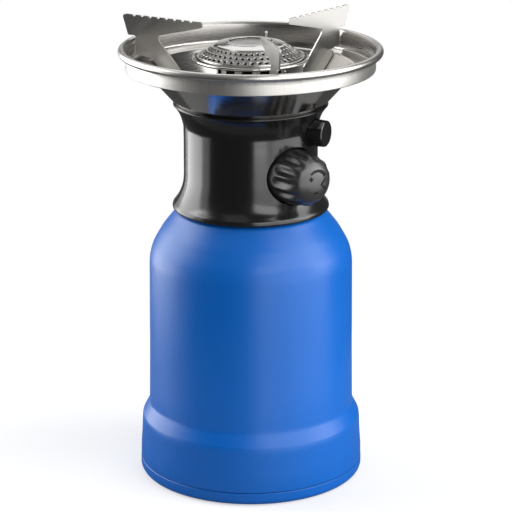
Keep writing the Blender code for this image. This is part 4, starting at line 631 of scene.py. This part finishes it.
def add_mark(bm, line, widths):
    """A raised mark along a line on the face, with its width at each point."""
    raised = Vector((0.0, -mark_height, 0.0))
    sunk = Vector((0.0, 2 * mark_height, 0.0))
    rings = []
    for k, point in enumerate(line):
        run = Vector(line[min(k + 1, len(line) - 1)]) - Vector(line[max(k - 1, 0)])
        side = Vector((-run.y, run.x)).normalized() * widths[k] * mm / 2
        near, far = face_at(*(Vector(point) + side)), face_at(*(Vector(point) - side))
        corners = (near + sunk, near + raised, far + raised, far + sunk)
        rings.append([bm.verts.new(corner) for corner in corners])
    for face in [bm.faces.new(rings[0]), bm.faces.new(rings[-1])] + join_rings(bm, rings):
        face.material_index = 1


knob_plastic = plastic("knob_moulding", (0.021, 0.021, 0.0215), (900.0, 0.34, 0.05, 0.06), 0.012 * mm, 0.95)
print_black = plastic("print_black", (0.004, 0.004, 0.004), (1800.0, 0.62, 0.05, 0.08), 0.01 * mm, 0.25)
knob_body = bmesh.new()
knob_front = knob_rings(knob_body, knob_outline, True)
knob_back = knob_rings(knob_body, scaled(knob_bore), False)
join_rings(knob_body, knob_back[::-1] + knob_front)
for line, widths in marks:
    add_mark(knob_body, scaled(line), widths)
knob = piece("control_knob_moulding", knob_body, knob_plastic, 50.0)
knob.data.materials.append(print_black)
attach(knob, "knob")
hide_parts("control_knob")


# The igniter's push button: a small cap of the collar's black plastic with a
# dished end. It slides in the collar's sleeve, over the igniter's spring.
button_side = [
    (0.0, 36.5), (4.6, 36.5), (4.6, 28.6), (6.2, 28.6), (6.12, 34.0), (6.02, 37.2), (5.9, 37.65),
    (5.6, 37.9), (5.2, 38.0), (3.4, 37.85), (0.0, 37.7),
]
button_steps = 144
button_body = bmesh.new()
add_turned(button_body, scaled(button_side), button_steps)
button_body.transform(level_place(button_turn, 0.0, button_height))
button = piece("igniter_button_cap", button_body, black_moulding)
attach(button, "button")
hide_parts("piezo_button")


# Stainless sheet, as the bowl, the burner and the pan supports are made of it:
# drawn or rolled, with fine lines that run one way and a few handling marks.
steel = (0.60, 0.585, 0.56)
steel_lines, lines_in, lines_out = effect_group(
    "rolled_steel", ("Around", "Along", "Roughness", "Roughness Change", "Tone Change"))
own = add_node(steel_lines, "ShaderNodeTexCoord").outputs["Object"]
parts_of = add_node(steel_lines, "ShaderNodeSeparateXYZ", {0: own}).outputs
turn_angle = step_of(steel_lines, "ARCTAN2", parts_of["X"], parts_of["Y"])
flattened = add_node(steel_lines, "ShaderNodeCombineXYZ", {"X": parts_of["X"], "Y": parts_of["Y"]})
flat_distance = add_node(steel_lines, "ShaderNodeVectorMath", {0: flattened}, operation="LENGTH")
slant = step_of(steel_lines, "ADD", flat_distance.outputs["Value"], parts_of["Z"])
rolled = add_node(steel_lines, "ShaderNodeCombineXYZ", {
    "X": step_of(steel_lines, "MULTIPLY", turn_angle, lines_in["Around"]),
    "Y": step_of(steel_lines, "MULTIPLY", slant, lines_in["Along"]),
})
streaks = noise(steel_lines, 1.0, 4.0, rolled)
centred = mapped(steel_lines, streaks, 0.3, 0.7, -1.0, 1.0)
smears = mapped(steel_lines, noise(steel_lines, 38.0, 3.0, own), 0.35, 0.7, 0.0, 0.6)
both = step_of(steel_lines, "ADD", centred, smears)
changed = step_of(steel_lines, "MULTIPLY_ADD", both, lines_in["Roughness Change"], lines_in["Roughness"])
tone = step_of(steel_lines, "MULTIPLY_ADD", centred, lines_in["Tone Change"], 1.0)
feed(steel_lines, lines_out, {"Height": streaks, "Roughness": changed, "Tone": tone})


def metal(name, colour, settings, depth):
    """A metal: its lines around and along, roughness, and the changes of roughness and tone."""
    return finish(name, steel_lines, colour, settings, depth, {"Metallic": 1.0})


polished_steel = metal("polished_steel", steel, (4.0, 300.0, 0.13, 0.03, 0.03), 0.003 * mm)
brushed_steel = metal("brushed_steel", steel, (2.0, 2600.0, 0.29, 0.05, 0.05), 0.005 * mm)
# Duller steel with a darker tone: on the bowl's inward faces and the bead's inner curl the darker tone is
# painted shade; the crown's slope takes it too.
dulled_steel = metal("dulled_steel", (0.35, 0.338, 0.325), (2.0, 2200.0, 0.28, 0.05, 0.06), 0.002 * mm)
# Darker steel for the bowl's inner cone, floor and ledge: the darker tone is painted shade.
pressed_steel = metal("pressed_steel", (0.46, 0.448, 0.43), (3.0, 700.0, 0.17, 0.04, 0.04), 0.002 * mm)
# Nearly black steel, painted shade inside the burner: under the crown and on the pan's floor.
burner_inside = metal("burner_inside", (0.09, 0.087, 0.085), (6.0, 500.0, 0.45, 0.05, 0.10), 0.004 * mm)
upright_brushed_steel = metal(
    "upright_brushed_steel", steel, (240.0, 60.0, 0.38, 0.09, 0.16), 0.035 * mm)


# The bowl: one pressing of stainless sheet. Flat bottom, polished cone, a
# narrow ledge, an upright band and a rim rolled over into a round bead.
bowl_low, bowl_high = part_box("bowl")
sheet = 0.6 * mm
bowl_bottom = bowl_low.z
bowl_floor = bowl_bottom + sheet
bead_radius = 1.7 * mm
bead_circle = bowl_high.x - bead_radius
bead_height = bowl_high.z - bead_radius
bead_foot = bead_height - bead_radius
band_radius = 56.75 * mm
band_bottom = 192.6 * mm
band_inner = band_radius - sheet
band_corner = 1.1 * mm
ledge = band_bottom + sheet
cone_foot = 32.1 * mm
cone_top = 48.24 * mm
cone_slope = (band_bottom - bowl_bottom) / (cone_top - cone_foot)
cone_angle = math.atan(cone_slope)


def on_cone(radius, lift):
    """Height over the cone's outer side, lifted square to it."""
    return bowl_bottom + (radius - cone_foot) * cone_slope + lift / math.cos(cone_angle)


def rounded(corner, before, after, radius, steps=5):
    """Points that round a corner of an outline off."""
    corner = Vector(corner)
    start = corner + (Vector(before) - corner).normalized() * radius
    end = corner + (Vector(after) - corner).normalized() * radius
    curve = []
    for k in range(steps + 1):
        t = k / steps
        curve.append(tuple(start * (1 - t) ** 2 + corner * 2 * t * (1 - t) + end * t * t))
    return curve


def round_the_axis(face):
    """A face's distance from the stove's axis, and how much it faces away from it."""
    middle = face.center
    distance = math.hypot(middle.x, middle.y)
    return distance, (face.normal.x * middle.x + face.normal.y * middle.y) / max(distance, sheet)


inner_foot = (cone_foot + (sheet - sheet / math.cos(cone_angle)) / cone_slope, bowl_floor)
inner_top = (cone_foot + (ledge - bowl_bottom - sheet / math.cos(cone_angle)) / cone_slope, ledge)
outer_foot = (cone_foot, bowl_bottom)
outer_top = (cone_top, band_bottom)
bowl_outline = [
    (tube_hole, bowl_floor),
    *rounded(inner_foot, (tube_hole, bowl_floor), inner_top, 1.6 * mm),
    *rounded(inner_top, inner_foot, (band_inner, ledge), 1.5 * mm),
    (54.4 * mm, ledge), (54.6 * mm, ledge - 0.15 * mm), (54.9 * mm, ledge - 0.1 * mm),
    *arc((band_inner - band_corner, ledge + band_corner), band_corner, -70.0, 0.0, 5),
    (band_inner, bead_foot),
    *arc((bead_circle, bead_height), bead_radius, 172.0, -62.0, 26),
    (band_radius + 0.25 * mm, bead_height - 1.75 * mm), (band_radius, bead_height - 2.3 * mm),
    (band_radius, (band_bottom + bead_height) / 2),
    *rounded((band_radius, band_bottom), (band_radius, bead_height), outer_top, 0.5 * mm),
    *rounded(outer_top, (band_radius, band_bottom), outer_foot, 1.0 * mm),
    *rounded(outer_foot, outer_top, (tube_hole, bowl_bottom), 1.2 * mm),
    (tube_hole, bowl_bottom),
]
bowl = turned("bowl_pressing", bowl_outline, polished_steel)
for surface in (brushed_steel, upright_brushed_steel, dulled_steel, pressed_steel):
    bowl.data.materials.append(surface)
polished, brushed, upright, dulled_shade, pressed_shade = range(5)
# Faces inside the bowl take the darker copies of the steel as painted shade: the band's inward face and the
# bead's inner curl the darkest, the inner cone, floor and ledge less so.
for face in bowl.data.polygons:
    distance, outward = round_the_axis(face)
    below_bead = face.center.z < bead_foot
    if below_bead and outward < -0.95:
        face.material_index = dulled_shade
    elif below_bead and (outward < -0.2 or face.normal.z > 0.5):
        face.material_index = pressed_shade
    elif below_bead and distance > band_radius - 0.2 * mm:
        face.material_index = upright
    elif face.center.z > bead_foot - 0.1 * mm:
        face.material_index = dulled_shade if outward < -0.6 else brushed
    else:
        face.material_index = polished
carve(bowl, upright_bars(web_holes, 173.2 * mm, hole_top))
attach(bowl, "head")
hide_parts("bowl")


# A tree that sets copies of one piece at equal steps around the stove's axis.
# The screws and the pan supports use it.
def geometry_tree(name, inputs):
    """A tree of Geometry Nodes: the tree, its inputs' identifiers, and its two end nodes."""
    tree = bpy.data.node_groups.new(name, "GeometryNodeTree")
    identifiers = {}
    for label, kind in inputs.items():
        socket = tree.interface.new_socket(label, in_out="INPUT", socket_type="NodeSocket" + kind)
        identifiers[label] = socket.identifier
    tree.interface.new_socket("Geometry", in_out="OUTPUT", socket_type="NodeSocketGeometry")
    return tree, identifiers, tree.nodes.new("NodeGroupInput").outputs, tree.nodes.new("NodeGroupOutput")


def end_tree(tree, geometry, tree_in, tree_out):
    """Give what a tree has made its finish, and put it out."""
    inputs = {"Geometry": geometry, "Material": tree_in["Finish"]}
    feed(tree, tree_out, {0: add_node(tree, "GeometryNodeSetMaterial", inputs)})


def use_tree(made, tree, identifiers, settings):
    """Put a tree on a piece, with its inputs given by name."""
    step = made.modifiers.new(tree.name, "NODES")
    step.node_group = tree
    for label, value in settings.items():
        step[identifiers[label]] = value


spaced_tree, spaced_inputs, spaced_in, spaced_out = geometry_tree(
    "spaced_around", {"Geometry": "Geometry", "Count": "Int", "Finish": "Material"})
per_step = step_of(spaced_tree, "DIVIDE", math.tau, spaced_in["Count"])
angle = step_of(spaced_tree, "MULTIPLY", add_node(spaced_tree, "GeometryNodeInputIndex"), per_step)
copies = add_node(spaced_tree, "GeometryNodeInstanceOnPoints", {
    "Points": add_node(spaced_tree, "GeometryNodePoints", {"Count": spaced_in["Count"]}),
    "Instance": spaced_in["Geometry"],
    "Rotation": add_node(spaced_tree, "ShaderNodeCombineXYZ", {"Z": angle}),
})
realized = add_node(spaced_tree, "GeometryNodeRealizeInstances", {0: copies})
end_tree(spaced_tree, realized, spaced_in, spaced_out)


def spaced_around(made, count, surface, sharp=32.0):
    """Copy a piece around the axis and keep the result as a plain mesh."""
    use_tree(made, spaced_tree, spaced_inputs, {"Count": count, "Finish": surface})
    bake(made, sharp)


# Three pan-head screws hold the bowl down on the collar: bright plated steel
# with a cross recess in each head.
screw_low, screw_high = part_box("bowl_screw_1")
screw_tip = screw_low.z
head_height = 1.8 * mm
screw_seat = screw_high.z - head_height
shank_radius = 1.5 * mm
head_side = [(2.9, 0.0), (2.9, 0.7), (2.6, 1.2), (2.0, 1.6), (1.1, 1.8), (0.0, 1.8)]
recess_size = Matrix.Diagonal((3.0 * mm, 0.6 * mm, 1.8 * mm, 1.0))
plated_steel = metal("plated_steel", (0.55, 0.55, 0.53), (9.0, 900.0, 0.24, 0.06, 0.05), 0.004 * mm)
screw_outline = [
    (0.0, screw_tip), (0.9 * mm, screw_tip),
    (shank_radius, screw_tip + 0.7 * mm), (shank_radius, screw_seat),
    *[(radius, screw_seat + height) for radius, height in scaled(head_side)],
]
screw_mesh = bmesh.new()
add_turned(screw_mesh, screw_outline, 40)
screw = piece("bowl_screws", screw_mesh, plated_steel)
cross = []
for turn in (0.0, math.pi / 2):
    arm = bmesh.new()
    bmesh.ops.create_cube(arm, size=1.0)
    arm.transform(recess_size)
    arm.transform(Matrix.Translation((0.0, 0.0, screw_seat + head_height)) @ Matrix.Rotation(turn, 4, "Z"))
    cross.append(as_object("recess", arm))
carve(screw, cross)
screw.data.transform(Matrix.Translation(polar(screw_circle, math.radians(screw_turn), 0.0)))
spaced_around(screw, 3, plated_steel)
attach(screw, "head")
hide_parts("bowl_screw_1", "bowl_screw_2", "bowl_screw_3")


# A tree that repeats one cell of sheet, with its hole, in rows, and rolls the
# rows into a ring or a cone. The crown's holes and the air windows come from it.
pierced_tree, pierced_inputs, pierced_in, pierced_out = geometry_tree("pierced_ring", {
    "Geometry": "Geometry", "Around": "Int", "Rows": "Int", "Stagger": "Float", "Low Radius": "Float",
    "High Radius": "Float", "Low Height": "Float", "High Height": "Float", "Finish": "Material",
})


def ring_step(operation, *values):
    """One maths step in the tree of pierced rings."""
    return step_of(pierced_tree, operation, *values)


index = add_node(pierced_tree, "GeometryNodeInputIndex")
row = ring_step("FLOOR", ring_step("DIVIDE", index, pierced_in["Around"]))
column = ring_step("MODULO", index, pierced_in["Around"])
shift = ring_step("MULTIPLY", ring_step("MODULO", row, 2.0), pierced_in["Stagger"])
cell_place = add_node(pierced_tree, "ShaderNodeCombineXYZ", {"X": ring_step("ADD", column, shift), "Y": row})
total = ring_step("MULTIPLY", pierced_in["Around"], pierced_in["Rows"])
cells = add_node(pierced_tree, "GeometryNodeInstanceOnPoints", {
    "Points": add_node(pierced_tree, "GeometryNodePoints", {"Count": total, "Position": cell_place}),
    "Instance": pierced_in["Geometry"],
})
realized = add_node(pierced_tree, "GeometryNodeRealizeInstances", {0: cells})
here = add_node(pierced_tree, "GeometryNodeInputPosition")
flat = add_node(pierced_tree, "ShaderNodeSeparateXYZ", {0: here}).outputs
turn = ring_step("MULTIPLY", flat["X"], ring_step("DIVIDE", math.tau, pierced_in["Around"]))
share = ring_step("DIVIDE", flat["Y"], pierced_in["Rows"])
radius_rise = ring_step("SUBTRACT", pierced_in["High Radius"], pierced_in["Low Radius"])
height_rise = ring_step("SUBTRACT", pierced_in["High Height"], pierced_in["Low Height"])
squares = [ring_step("MULTIPLY", rise, rise) for rise in (radius_rise, height_rise)]
slope_length = ring_step("SQRT", ring_step("ADD", *squares))
thickness_out, thickness_up = [
    ring_step("DIVIDE", ring_step("MULTIPLY", flat["Z"], rise), slope_length)
    for rise in (height_rise, radius_rise)
]
sheet_radius = ring_step("MULTIPLY_ADD", share, radius_rise, pierced_in["Low Radius"])
sheet_height = ring_step("MULTIPLY_ADD", share, height_rise, pierced_in["Low Height"])
radius_here = ring_step("ADD", thickness_out, sheet_radius)
round_place = add_node(pierced_tree, "ShaderNodeCombineXYZ", {
    "X": ring_step("MULTIPLY", radius_here, ring_step("SINE", turn)),
    "Y": ring_step("MULTIPLY", ring_step("MULTIPLY", radius_here, -1.0), ring_step("COSINE", turn)),
    "Z": ring_step("SUBTRACT", sheet_height, thickness_up),
})
moved = add_node(pierced_tree, "GeometryNodeSetPosition", {"Geometry": realized, "Position": round_place})
welded = add_node(pierced_tree, "GeometryNodeMergeByDistance", {"Geometry": moved, "Distance": 0.002 * mm})
end_tree(pierced_tree, welded, pierced_in, pierced_out)


def cell_hole(half_width, half_height, power, count):
    """Points of a hole around the middle of the unit cell; power 2 makes it round, more square."""
    loop = []
    for k in range(count):
        turn = math.tau * k / count - math.pi * 3 / 4
        c, s = math.cos(turn), math.sin(turn)
        size = (abs(c) ** power + abs(s) ** power) ** (-1 / power)
        loop.append((0.5 + half_width * size * c, 0.5 + half_height * size * s))
    return loop


def cell_mesh(hole, dish, sides):
    """One square cell of sheet around a dished hole, both given in the unit square."""
    bm = bmesh.new()
    corners = ((0, 0), (1, 0), (1, 1), (0, 1))
    edge = []
    for start, end in zip(corners, corners[1:] + corners[:1]):
        for k in range(sides):
            t = k / sides
            edge.append((start[0] + (end[0] - start[0]) * t, start[1] + (end[1] - start[1]) * t))
    rims = [(edge, 0.0), (dish, 0.0), (hole, -sheet * 0.3)]
    rims += [(hole, -sheet * 0.85), (dish, -sheet), (edge, -sheet)]
    join_rings(bm, [[bm.verts.new((x, y, z)) for x, y in rim] for rim, z in rims])
    return bm


def pierced_ring(name, cell, around, rows, stagger, low, high):
    """Roll a cell into a ring from one (radius, height) to another; returns its mesh to add to."""
    made = piece(name, cell, polished_steel)
    use_tree(made, pierced_tree, pierced_inputs, {
        "Around": around, "Rows": rows, "Stagger": stagger, "Low Radius": low[0], "Low Height": low[1],
        "High Radius": high[0], "High Height": high[1], "Finish": polished_steel,
    })
    mesh = evaluated(made)
    bpy.data.objects.remove(made, do_unlink=True)
    bm = bmesh.new()
    bm.from_mesh(mesh)
    return bm


# The burner support: a pressed ring of stainless sheet with twelve windows for
# the second air, spot-welded to the bowl's bottom by its foot.
support_low, support_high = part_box("burner_support")
support_radius = 15.8 * mm
support_inner = support_radius - sheet
support_bottom = support_low.z
support_foot = support_high.x
foot_bend = 0.8 * mm
windows = 12
window_steps = 8
window_low = support_high.z - 7.0 * mm
window_high = support_high.z - 0.9 * mm
window_half_width = 0.57 / 2
window_half_height = 0.40
window_dish = 0.01
window_squareness = 7.0
window_holes = [
    cell_hole(window_half_width + dish, window_half_height + dish, window_squareness, 4 * window_steps)
    for dish in (0.0, window_dish)
]
window = cell_mesh(*window_holes, window_steps)
support = pierced_ring(
    "burner_support_ring", window, windows, 1, 0.0, (support_radius, window_low),
    (support_radius, window_high),
)
support_outline = [
    (support_radius, window_low),
    *arc((support_radius + foot_bend, support_bottom + 1.4 * mm), foot_bend, 180.0, 270.0, 5),
    (support_foot, support_bottom + sheet), (support_foot, support_bottom),
    (support_inner + 1.0 * mm, support_bottom), (support_inner, support_bottom + 1.0 * mm),
    (support_inner, window_low),
]
support_rim = [
    (support_inner, window_high), (support_inner, support_high.z), (support_radius, support_high.z),
    (support_radius, window_high),
]
for outline in (support_outline, support_rim):
    add_turned(support, outline, windows * window_steps, closed=False)
support_ring = piece("burner_support_ring", support, polished_steel)
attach(support_ring, "head")
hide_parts("burner_support")


# The burner pan, the lower half of the burner head: a drawn cup with a hub
# over the mixing tube and an edge rolled round the crown's foot.
pan_low, pan_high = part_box("burner_pan")
pan_bottom = 197.1 * mm
pan_floor = pan_bottom + sheet
pan_edge = pan_high.x
roll_radius = 0.7 * mm
roll_circle = pan_edge - 0.25 * mm
hub_bore = 7.3 * mm
hub_outer = hub_bore + sheet
pan_outline = [
    (hub_bore, pan_low.z), (hub_outer, pan_low.z),
    *rounded((hub_outer, pan_bottom), (hub_outer, pan_low.z), (pan_edge, pan_bottom), 1.2 * mm),
    (roll_circle - 2.2 * mm, pan_bottom),
    *arc((roll_circle, pan_bottom + 0.25 * mm), roll_radius, -100.0, 150.0, 18),
    (roll_circle - 1.15 * mm, pan_floor), (hub_bore + 0.4 * mm, pan_floor),
]
pan = turned("burner_pan_pressing", pan_outline, polished_steel)
pan.data.materials.append(burner_inside)
# The pan's floor inside the crown gets the nearly black steel, as painted shade.
for face in pan.data.polygons:
    if face.normal.z > 0.7 and round_the_axis(face)[0] < roll_circle - roll_radius:
        face.material_index = 1
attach(pan, "head")
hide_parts("burner_pan")


# The burner crown: three staggered rows of dimpled holes around its slope, and
# a polished cap with one raised ring, all one pressing.
crown_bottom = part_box("burner_crown")[0].z
holes_around = 44
hole_rows = 3
hole_steps = 4
hole_share = 0.25
crown_foot_radius = 23.7 * mm
crown_flange = 24.4 * mm
crown_top_radius = 16.6 * mm
slope_low = 198.8 * mm
slope_high = 203.4 * mm
cap_top = 204.5 * mm
cap_ring = 10.4 * mm
cap_ring_foot = cap_top + 0.2 * mm
cap_turns = [math.radians(t) for t in range(15, 196, 20)]
dish_share = 1.3 * hole_share
crown_holes = [cell_hole(half, half, 2.0, 4 * hole_steps) for half in (hole_share, dish_share)]
crown_cell = cell_mesh(*crown_holes, hole_steps)
crown = pierced_ring(
    "burner_crown_pressing", crown_cell, holes_around, hole_rows, 0.5, (crown_foot_radius, slope_low),
    (crown_top_radius, slope_high),
)
slope = Vector((crown_top_radius - crown_foot_radius, slope_high - slope_low))
inward = Vector((-slope.y, slope.x)).normalized() * sheet
low_inside = (crown_foot_radius + inward.x, slope_low + inward.y)
high_inside = (crown_top_radius + inward.x, slope_high + inward.y)
cap_outline = [
    (crown_top_radius, slope_high),
    *rounded(
        (15.45 * mm, cap_top - 0.32 * mm), (crown_top_radius, slope_high),
        (12.3 * mm, cap_top + 0.25 * mm), 0.6 * mm, 6,
    ),
    *smooth([(12.3 * mm, cap_top + 0.22 * mm), (11.6 * mm, cap_top + 0.34 * mm)], 2),
    *[(cap_ring + 0.95 * mm * math.cos(t), cap_ring_foot + 0.42 * mm * math.sin(t)) for t in cap_turns],
    (8.9 * mm, cap_top + 0.02 * mm), (3.0 * mm, cap_top + 0.05 * mm), (0.0, cap_top + 0.06 * mm),
]
under_cap = [high_inside, (high_inside[0] - 0.8 * mm, cap_top - sheet), (0.0, cap_top - sheet - 0.1 * mm)]
crown_foot = [
    low_inside, (low_inside[0], crown_bottom), (crown_flange, crown_bottom),
    (crown_flange, crown_bottom + sheet), (crown_foot_radius + 0.15 * mm, crown_bottom + sheet),
    (crown_foot_radius, slope_low),
]
for outline in (cap_outline, under_cap, crown_foot):
    add_turned(crown, outline, holes_around * hole_steps, closed=False)
crown_piece = piece("burner_crown_pressing", crown, polished_steel, 40.0)
crown_piece.data.materials.append(dulled_steel)
crown_piece.data.materials.append(burner_inside)
slope_out = Vector((slope_high - slope_low, crown_foot_radius - crown_top_radius)).normalized()
# Faces that turn away from the slope's outside, under it and in the holes, get the nearly black steel as
# painted shade; the slope itself takes the duller, darker steel.
for face in crown_piece.data.polygons:
    distance, outward = round_the_axis(face)
    if Vector((outward, face.normal.z)).dot(slope_out) < 0.35:
        face.material_index = 2
    elif crown_top_radius < distance < crown_foot_radius:
        face.material_index = 1
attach(crown_piece, "head")
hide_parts("burner_crown")


# The pan supports: three blades cut from stainless sheet, with a scalloped edge
# for the pan and a foot that is bent over and welded to the bowl's cone.
blade_azimuth = math.radians(-27.0)
blade_sheet = 0.9 * mm
blade_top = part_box("pan_support_2")[1].z
blade_low = blade_top - 9.8 * mm
blade_reach = 62.0 * mm
tip_radius = 23.0 * mm
tip_top = blade_top - 1.8 * mm
humps = 9
notch_width = 1.0 * mm
notch_depth = 0.75 * mm
foot_width = 5.0 * mm
foot_low = 32.7 * mm
foot_high = 47.6 * mm
foot_lift = sheet + 0.3 * mm
foot_middle = foot_lift + blade_sheet / 2
edge_break = 0.1 * mm
stem = band_radius - sheet - 0.55 * mm
arm_start = 44.3 * mm


def blade_edge():
    """The top edge: long flat humps with a small round notch between each two."""
    start = Vector((tip_radius + 1.7 * mm, tip_top))
    end = Vector((blade_reach - 2.0 * mm, blade_top))
    pitch = (end - start) / humps
    along = pitch.normalized()
    down = Vector((along.y, -along.x))
    edge = [tuple(start)]
    for k in range(1, humps):
        middle = start + pitch * k
        for turn in range(0, 181, 30):
            a = math.radians(turn)
            flare = 1.0 + 0.35 * abs(math.cos(a)) ** 3
            sunk = down * notch_depth * math.sin(a)
            edge.append(tuple(middle - along * notch_width / 2 * math.cos(a) * flare + sunk))
    return edge + [tuple(end)]


tip_low = (tip_radius, tip_top - 2.6 * mm)
end_high = (blade_reach, blade_top)
foot_end = (foot_low, on_cone(foot_low, foot_middle))
foot_corner = (foot_low, foot_end[1] + 11.0 * mm)
blade_outline = [
    *rounded(tip_low, (arm_start, blade_low), (tip_radius, tip_top), 1.0 * mm, 4),
    *rounded((tip_radius + 0.3 * mm, tip_top + 0.02 * mm), tip_low, end_high, 0.9 * mm, 4),
    *blade_edge(),
    *rounded(end_high, (tip_radius, tip_top), (59.3 * mm, blade_low), 1.9 * mm, 6),
    *rounded((59.2 * mm, blade_low), end_high, (stem, blade_low), 0.8 * mm, 4),
    *rounded((stem, blade_low), (59.2 * mm, blade_low), (stem, ledge), 0.5 * mm, 3),
    *rounded((stem, ledge + 2.2 * mm), (stem, blade_low), (foot_high, ledge + 0.9 * mm), 0.9 * mm, 4),
    (foot_high + 1.1 * mm, ledge + 1.0 * mm), (foot_high, on_cone(foot_high, foot_middle)),
    foot_end, foot_corner,
    *rounded((arm_start, 202.9 * mm), foot_corner, (arm_start, 205.0 * mm), 0.8 * mm, 3),
    (arm_start, 204.7 * mm),
]


def drawn_in(outline, distance):
    """An outline moved inwards by the width of its broken edge."""
    following = outline[1:] + outline[:1]
    area = sum(a[0] * b[1] - b[0] * a[1] for a, b in zip(outline, following))
    turn = math.copysign(1.0, area)
    moved = []
    for before, here, after in zip(outline[-1:] + outline[:-1], outline, following):
        arriving = (Vector(here) - Vector(before)).normalized()
        leaving = (Vector(after) - Vector(here)).normalized()
        inward = (Vector((-arriving.y - leaving.y, arriving.x + leaving.x)) * turn).normalized()
        share = inward.dot(Vector((-arriving.y, arriving.x)) * turn)
        moved.append(tuple(Vector(here) + inward * distance / max(share, 0.5)))
    return moved


def add_blade(bm, outline, azimuth):
    """A flat piece of sheet that stands in the radial plane, with broken edges."""
    across = Vector((math.cos(azimuth), math.sin(azimuth), 0.0))
    face = drawn_in(outline, edge_break)
    half = blade_sheet / 2
    layers = ((face, -half), (outline, edge_break - half), (outline, half - edge_break), (face, half))
    loops = []
    for points, place in layers:
        loops.append([bm.verts.new(polar(r, azimuth, z) + across * place) for r, z in points])
    join_rings(bm, loops)
    for corners in tessellate_polygon([[Vector((radius, height, 0.0)) for radius, height in face]]):
        for side in (loops[0], loops[3]):
            bm.faces.new([side[corner] for corner in corners])


def over_cone(azimuth, slant_radius, across, lift):
    """A point of the bent foot, wrapped on the cone."""
    radius = slant_radius - lift * math.sin(cone_angle)
    height = bowl_bottom + (slant_radius - cone_foot) * cone_slope + lift * math.cos(cone_angle)
    return polar(radius, azimuth - across / slant_radius, height)


def add_foot(bm, azimuth):
    """The bent foot: it lies on the cone, from the blade to a round end."""
    steps = 8
    half_width = foot_width / 2
    end_length = half_width * 0.66
    stations = [foot_low + (foot_high - foot_low) * k / 10 for k in range(11)]
    stations += [foot_high + end_length * math.sin(math.radians(t)) for t in (22, 45, 66, 82, 90)]
    rows = []
    for station in stations:
        beyond = max(0.0, station - foot_high) / end_length
        pinch = half_width * (1.0 - math.sqrt(max(0.0, 1.0 - beyond * beyond)))
        pinch = min(pinch, half_width - 0.1 * mm)
        rows.append([(station, pinch + (foot_width - 2 * pinch) * k / steps) for k in range(steps + 1)])
    under, over = [
        [[bm.verts.new(over_cone(azimuth, *spot, lift)) for spot in row] for row in rows]
        for lift in (foot_lift, foot_lift + blade_sheet)
    ]
    for layer in (under, over):
        for near, far in zip(layer, layer[1:]):
            for j in range(steps):
                bm.faces.new((near[j], far[j], far[j + 1], near[j + 1]))
    for i in range(len(rows) - 1):
        for j in (0, -1):
            bm.faces.new((under[i][j], under[i + 1][j], over[i + 1][j], over[i][j]))
    for j in range(steps):
        for i in (0, -1):
            bm.faces.new((under[i][j], under[i][j + 1], over[i][j + 1], over[i][j]))


blade_steel = metal("blade_steel", (0.43, 0.42, 0.40), (4.0, 110.0, 0.36, 0.04, 0.03), 0.002 * mm)
support_blade = bmesh.new()
add_blade(support_blade, blade_outline, blade_azimuth)
add_foot(support_blade, blade_azimuth)
blade = piece("pan_supports", support_blade, blade_steel, 28.0)
spaced_around(blade, 3, blade_steel, 28.0)
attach(blade, "head")
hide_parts("pan_support_1", "pan_support_2", "pan_support_3")


# The solids that stay as they are, inside the stove or behind its windows, get
# the finish of what they are made of.
inner_finishes = (
    (metal("machined_brass", (0.72, 0.50, 0.20), (3.0, 2200.0, 0.26, 0.06, 0.06), 0.006 * mm),
     ("valve_body", "gland_nut", "valve_spindle", "gas_jet", "mixing_tube", "bowl_nut")),
    (metal("cast_alloy", (0.50, 0.50, 0.51), (40.0, 700.0, 0.45, 0.08, 0.05), 0.02 * mm),
     ("neck_insert",)),
    (metal("painted_can", (0.62, 0.64, 0.66), (2.0, 300.0, 0.32, 0.05, 0.02), 0.004 * mm),
     ("gas_cartridge",)),
    (metal("sintered_bronze", (0.40, 0.26, 0.13), (700.0, 3000.0, 0.7, 0.08, 0.2), 0.05 * mm),
     ("inlet_filter",)),
    (plated_steel, ("valve_screw_1", "valve_screw_2", "valve_screw_3", "piezo_spring", "piercing_needle",
                    "electrode_wire", "electrode_clip")),
    (plastic("black_rubber", (0.014, 0.014, 0.014), (2600.0, 0.75, 0.05, 0.1), 0.03 * mm),
     ("cartridge_gasket", "spindle_o_ring")),
    (plastic("grey_moulding", (0.30, 0.30, 0.29), (1500.0, 0.45, 0.04, 0.05), 0.02 * mm),
     ("piezo_body",)),
    (plastic("glazed_ceramic", (0.78, 0.75, 0.68), (300.0, 0.2, 0.05, 0.03), 0.006 * mm),
     ("electrode_insulator",)),
    (plastic("lead_insulation", (0.30, 0.03, 0.03), (900.0, 0.45, 0.05, 0.06), 0.01 * mm),
     ("ignition_lead",)),
)
for surface, names in inner_finishes:
    for name in names:
        bpy.data.objects[name].data.materials.clear()
        bpy.data.objects[name].data.materials.append(surface)
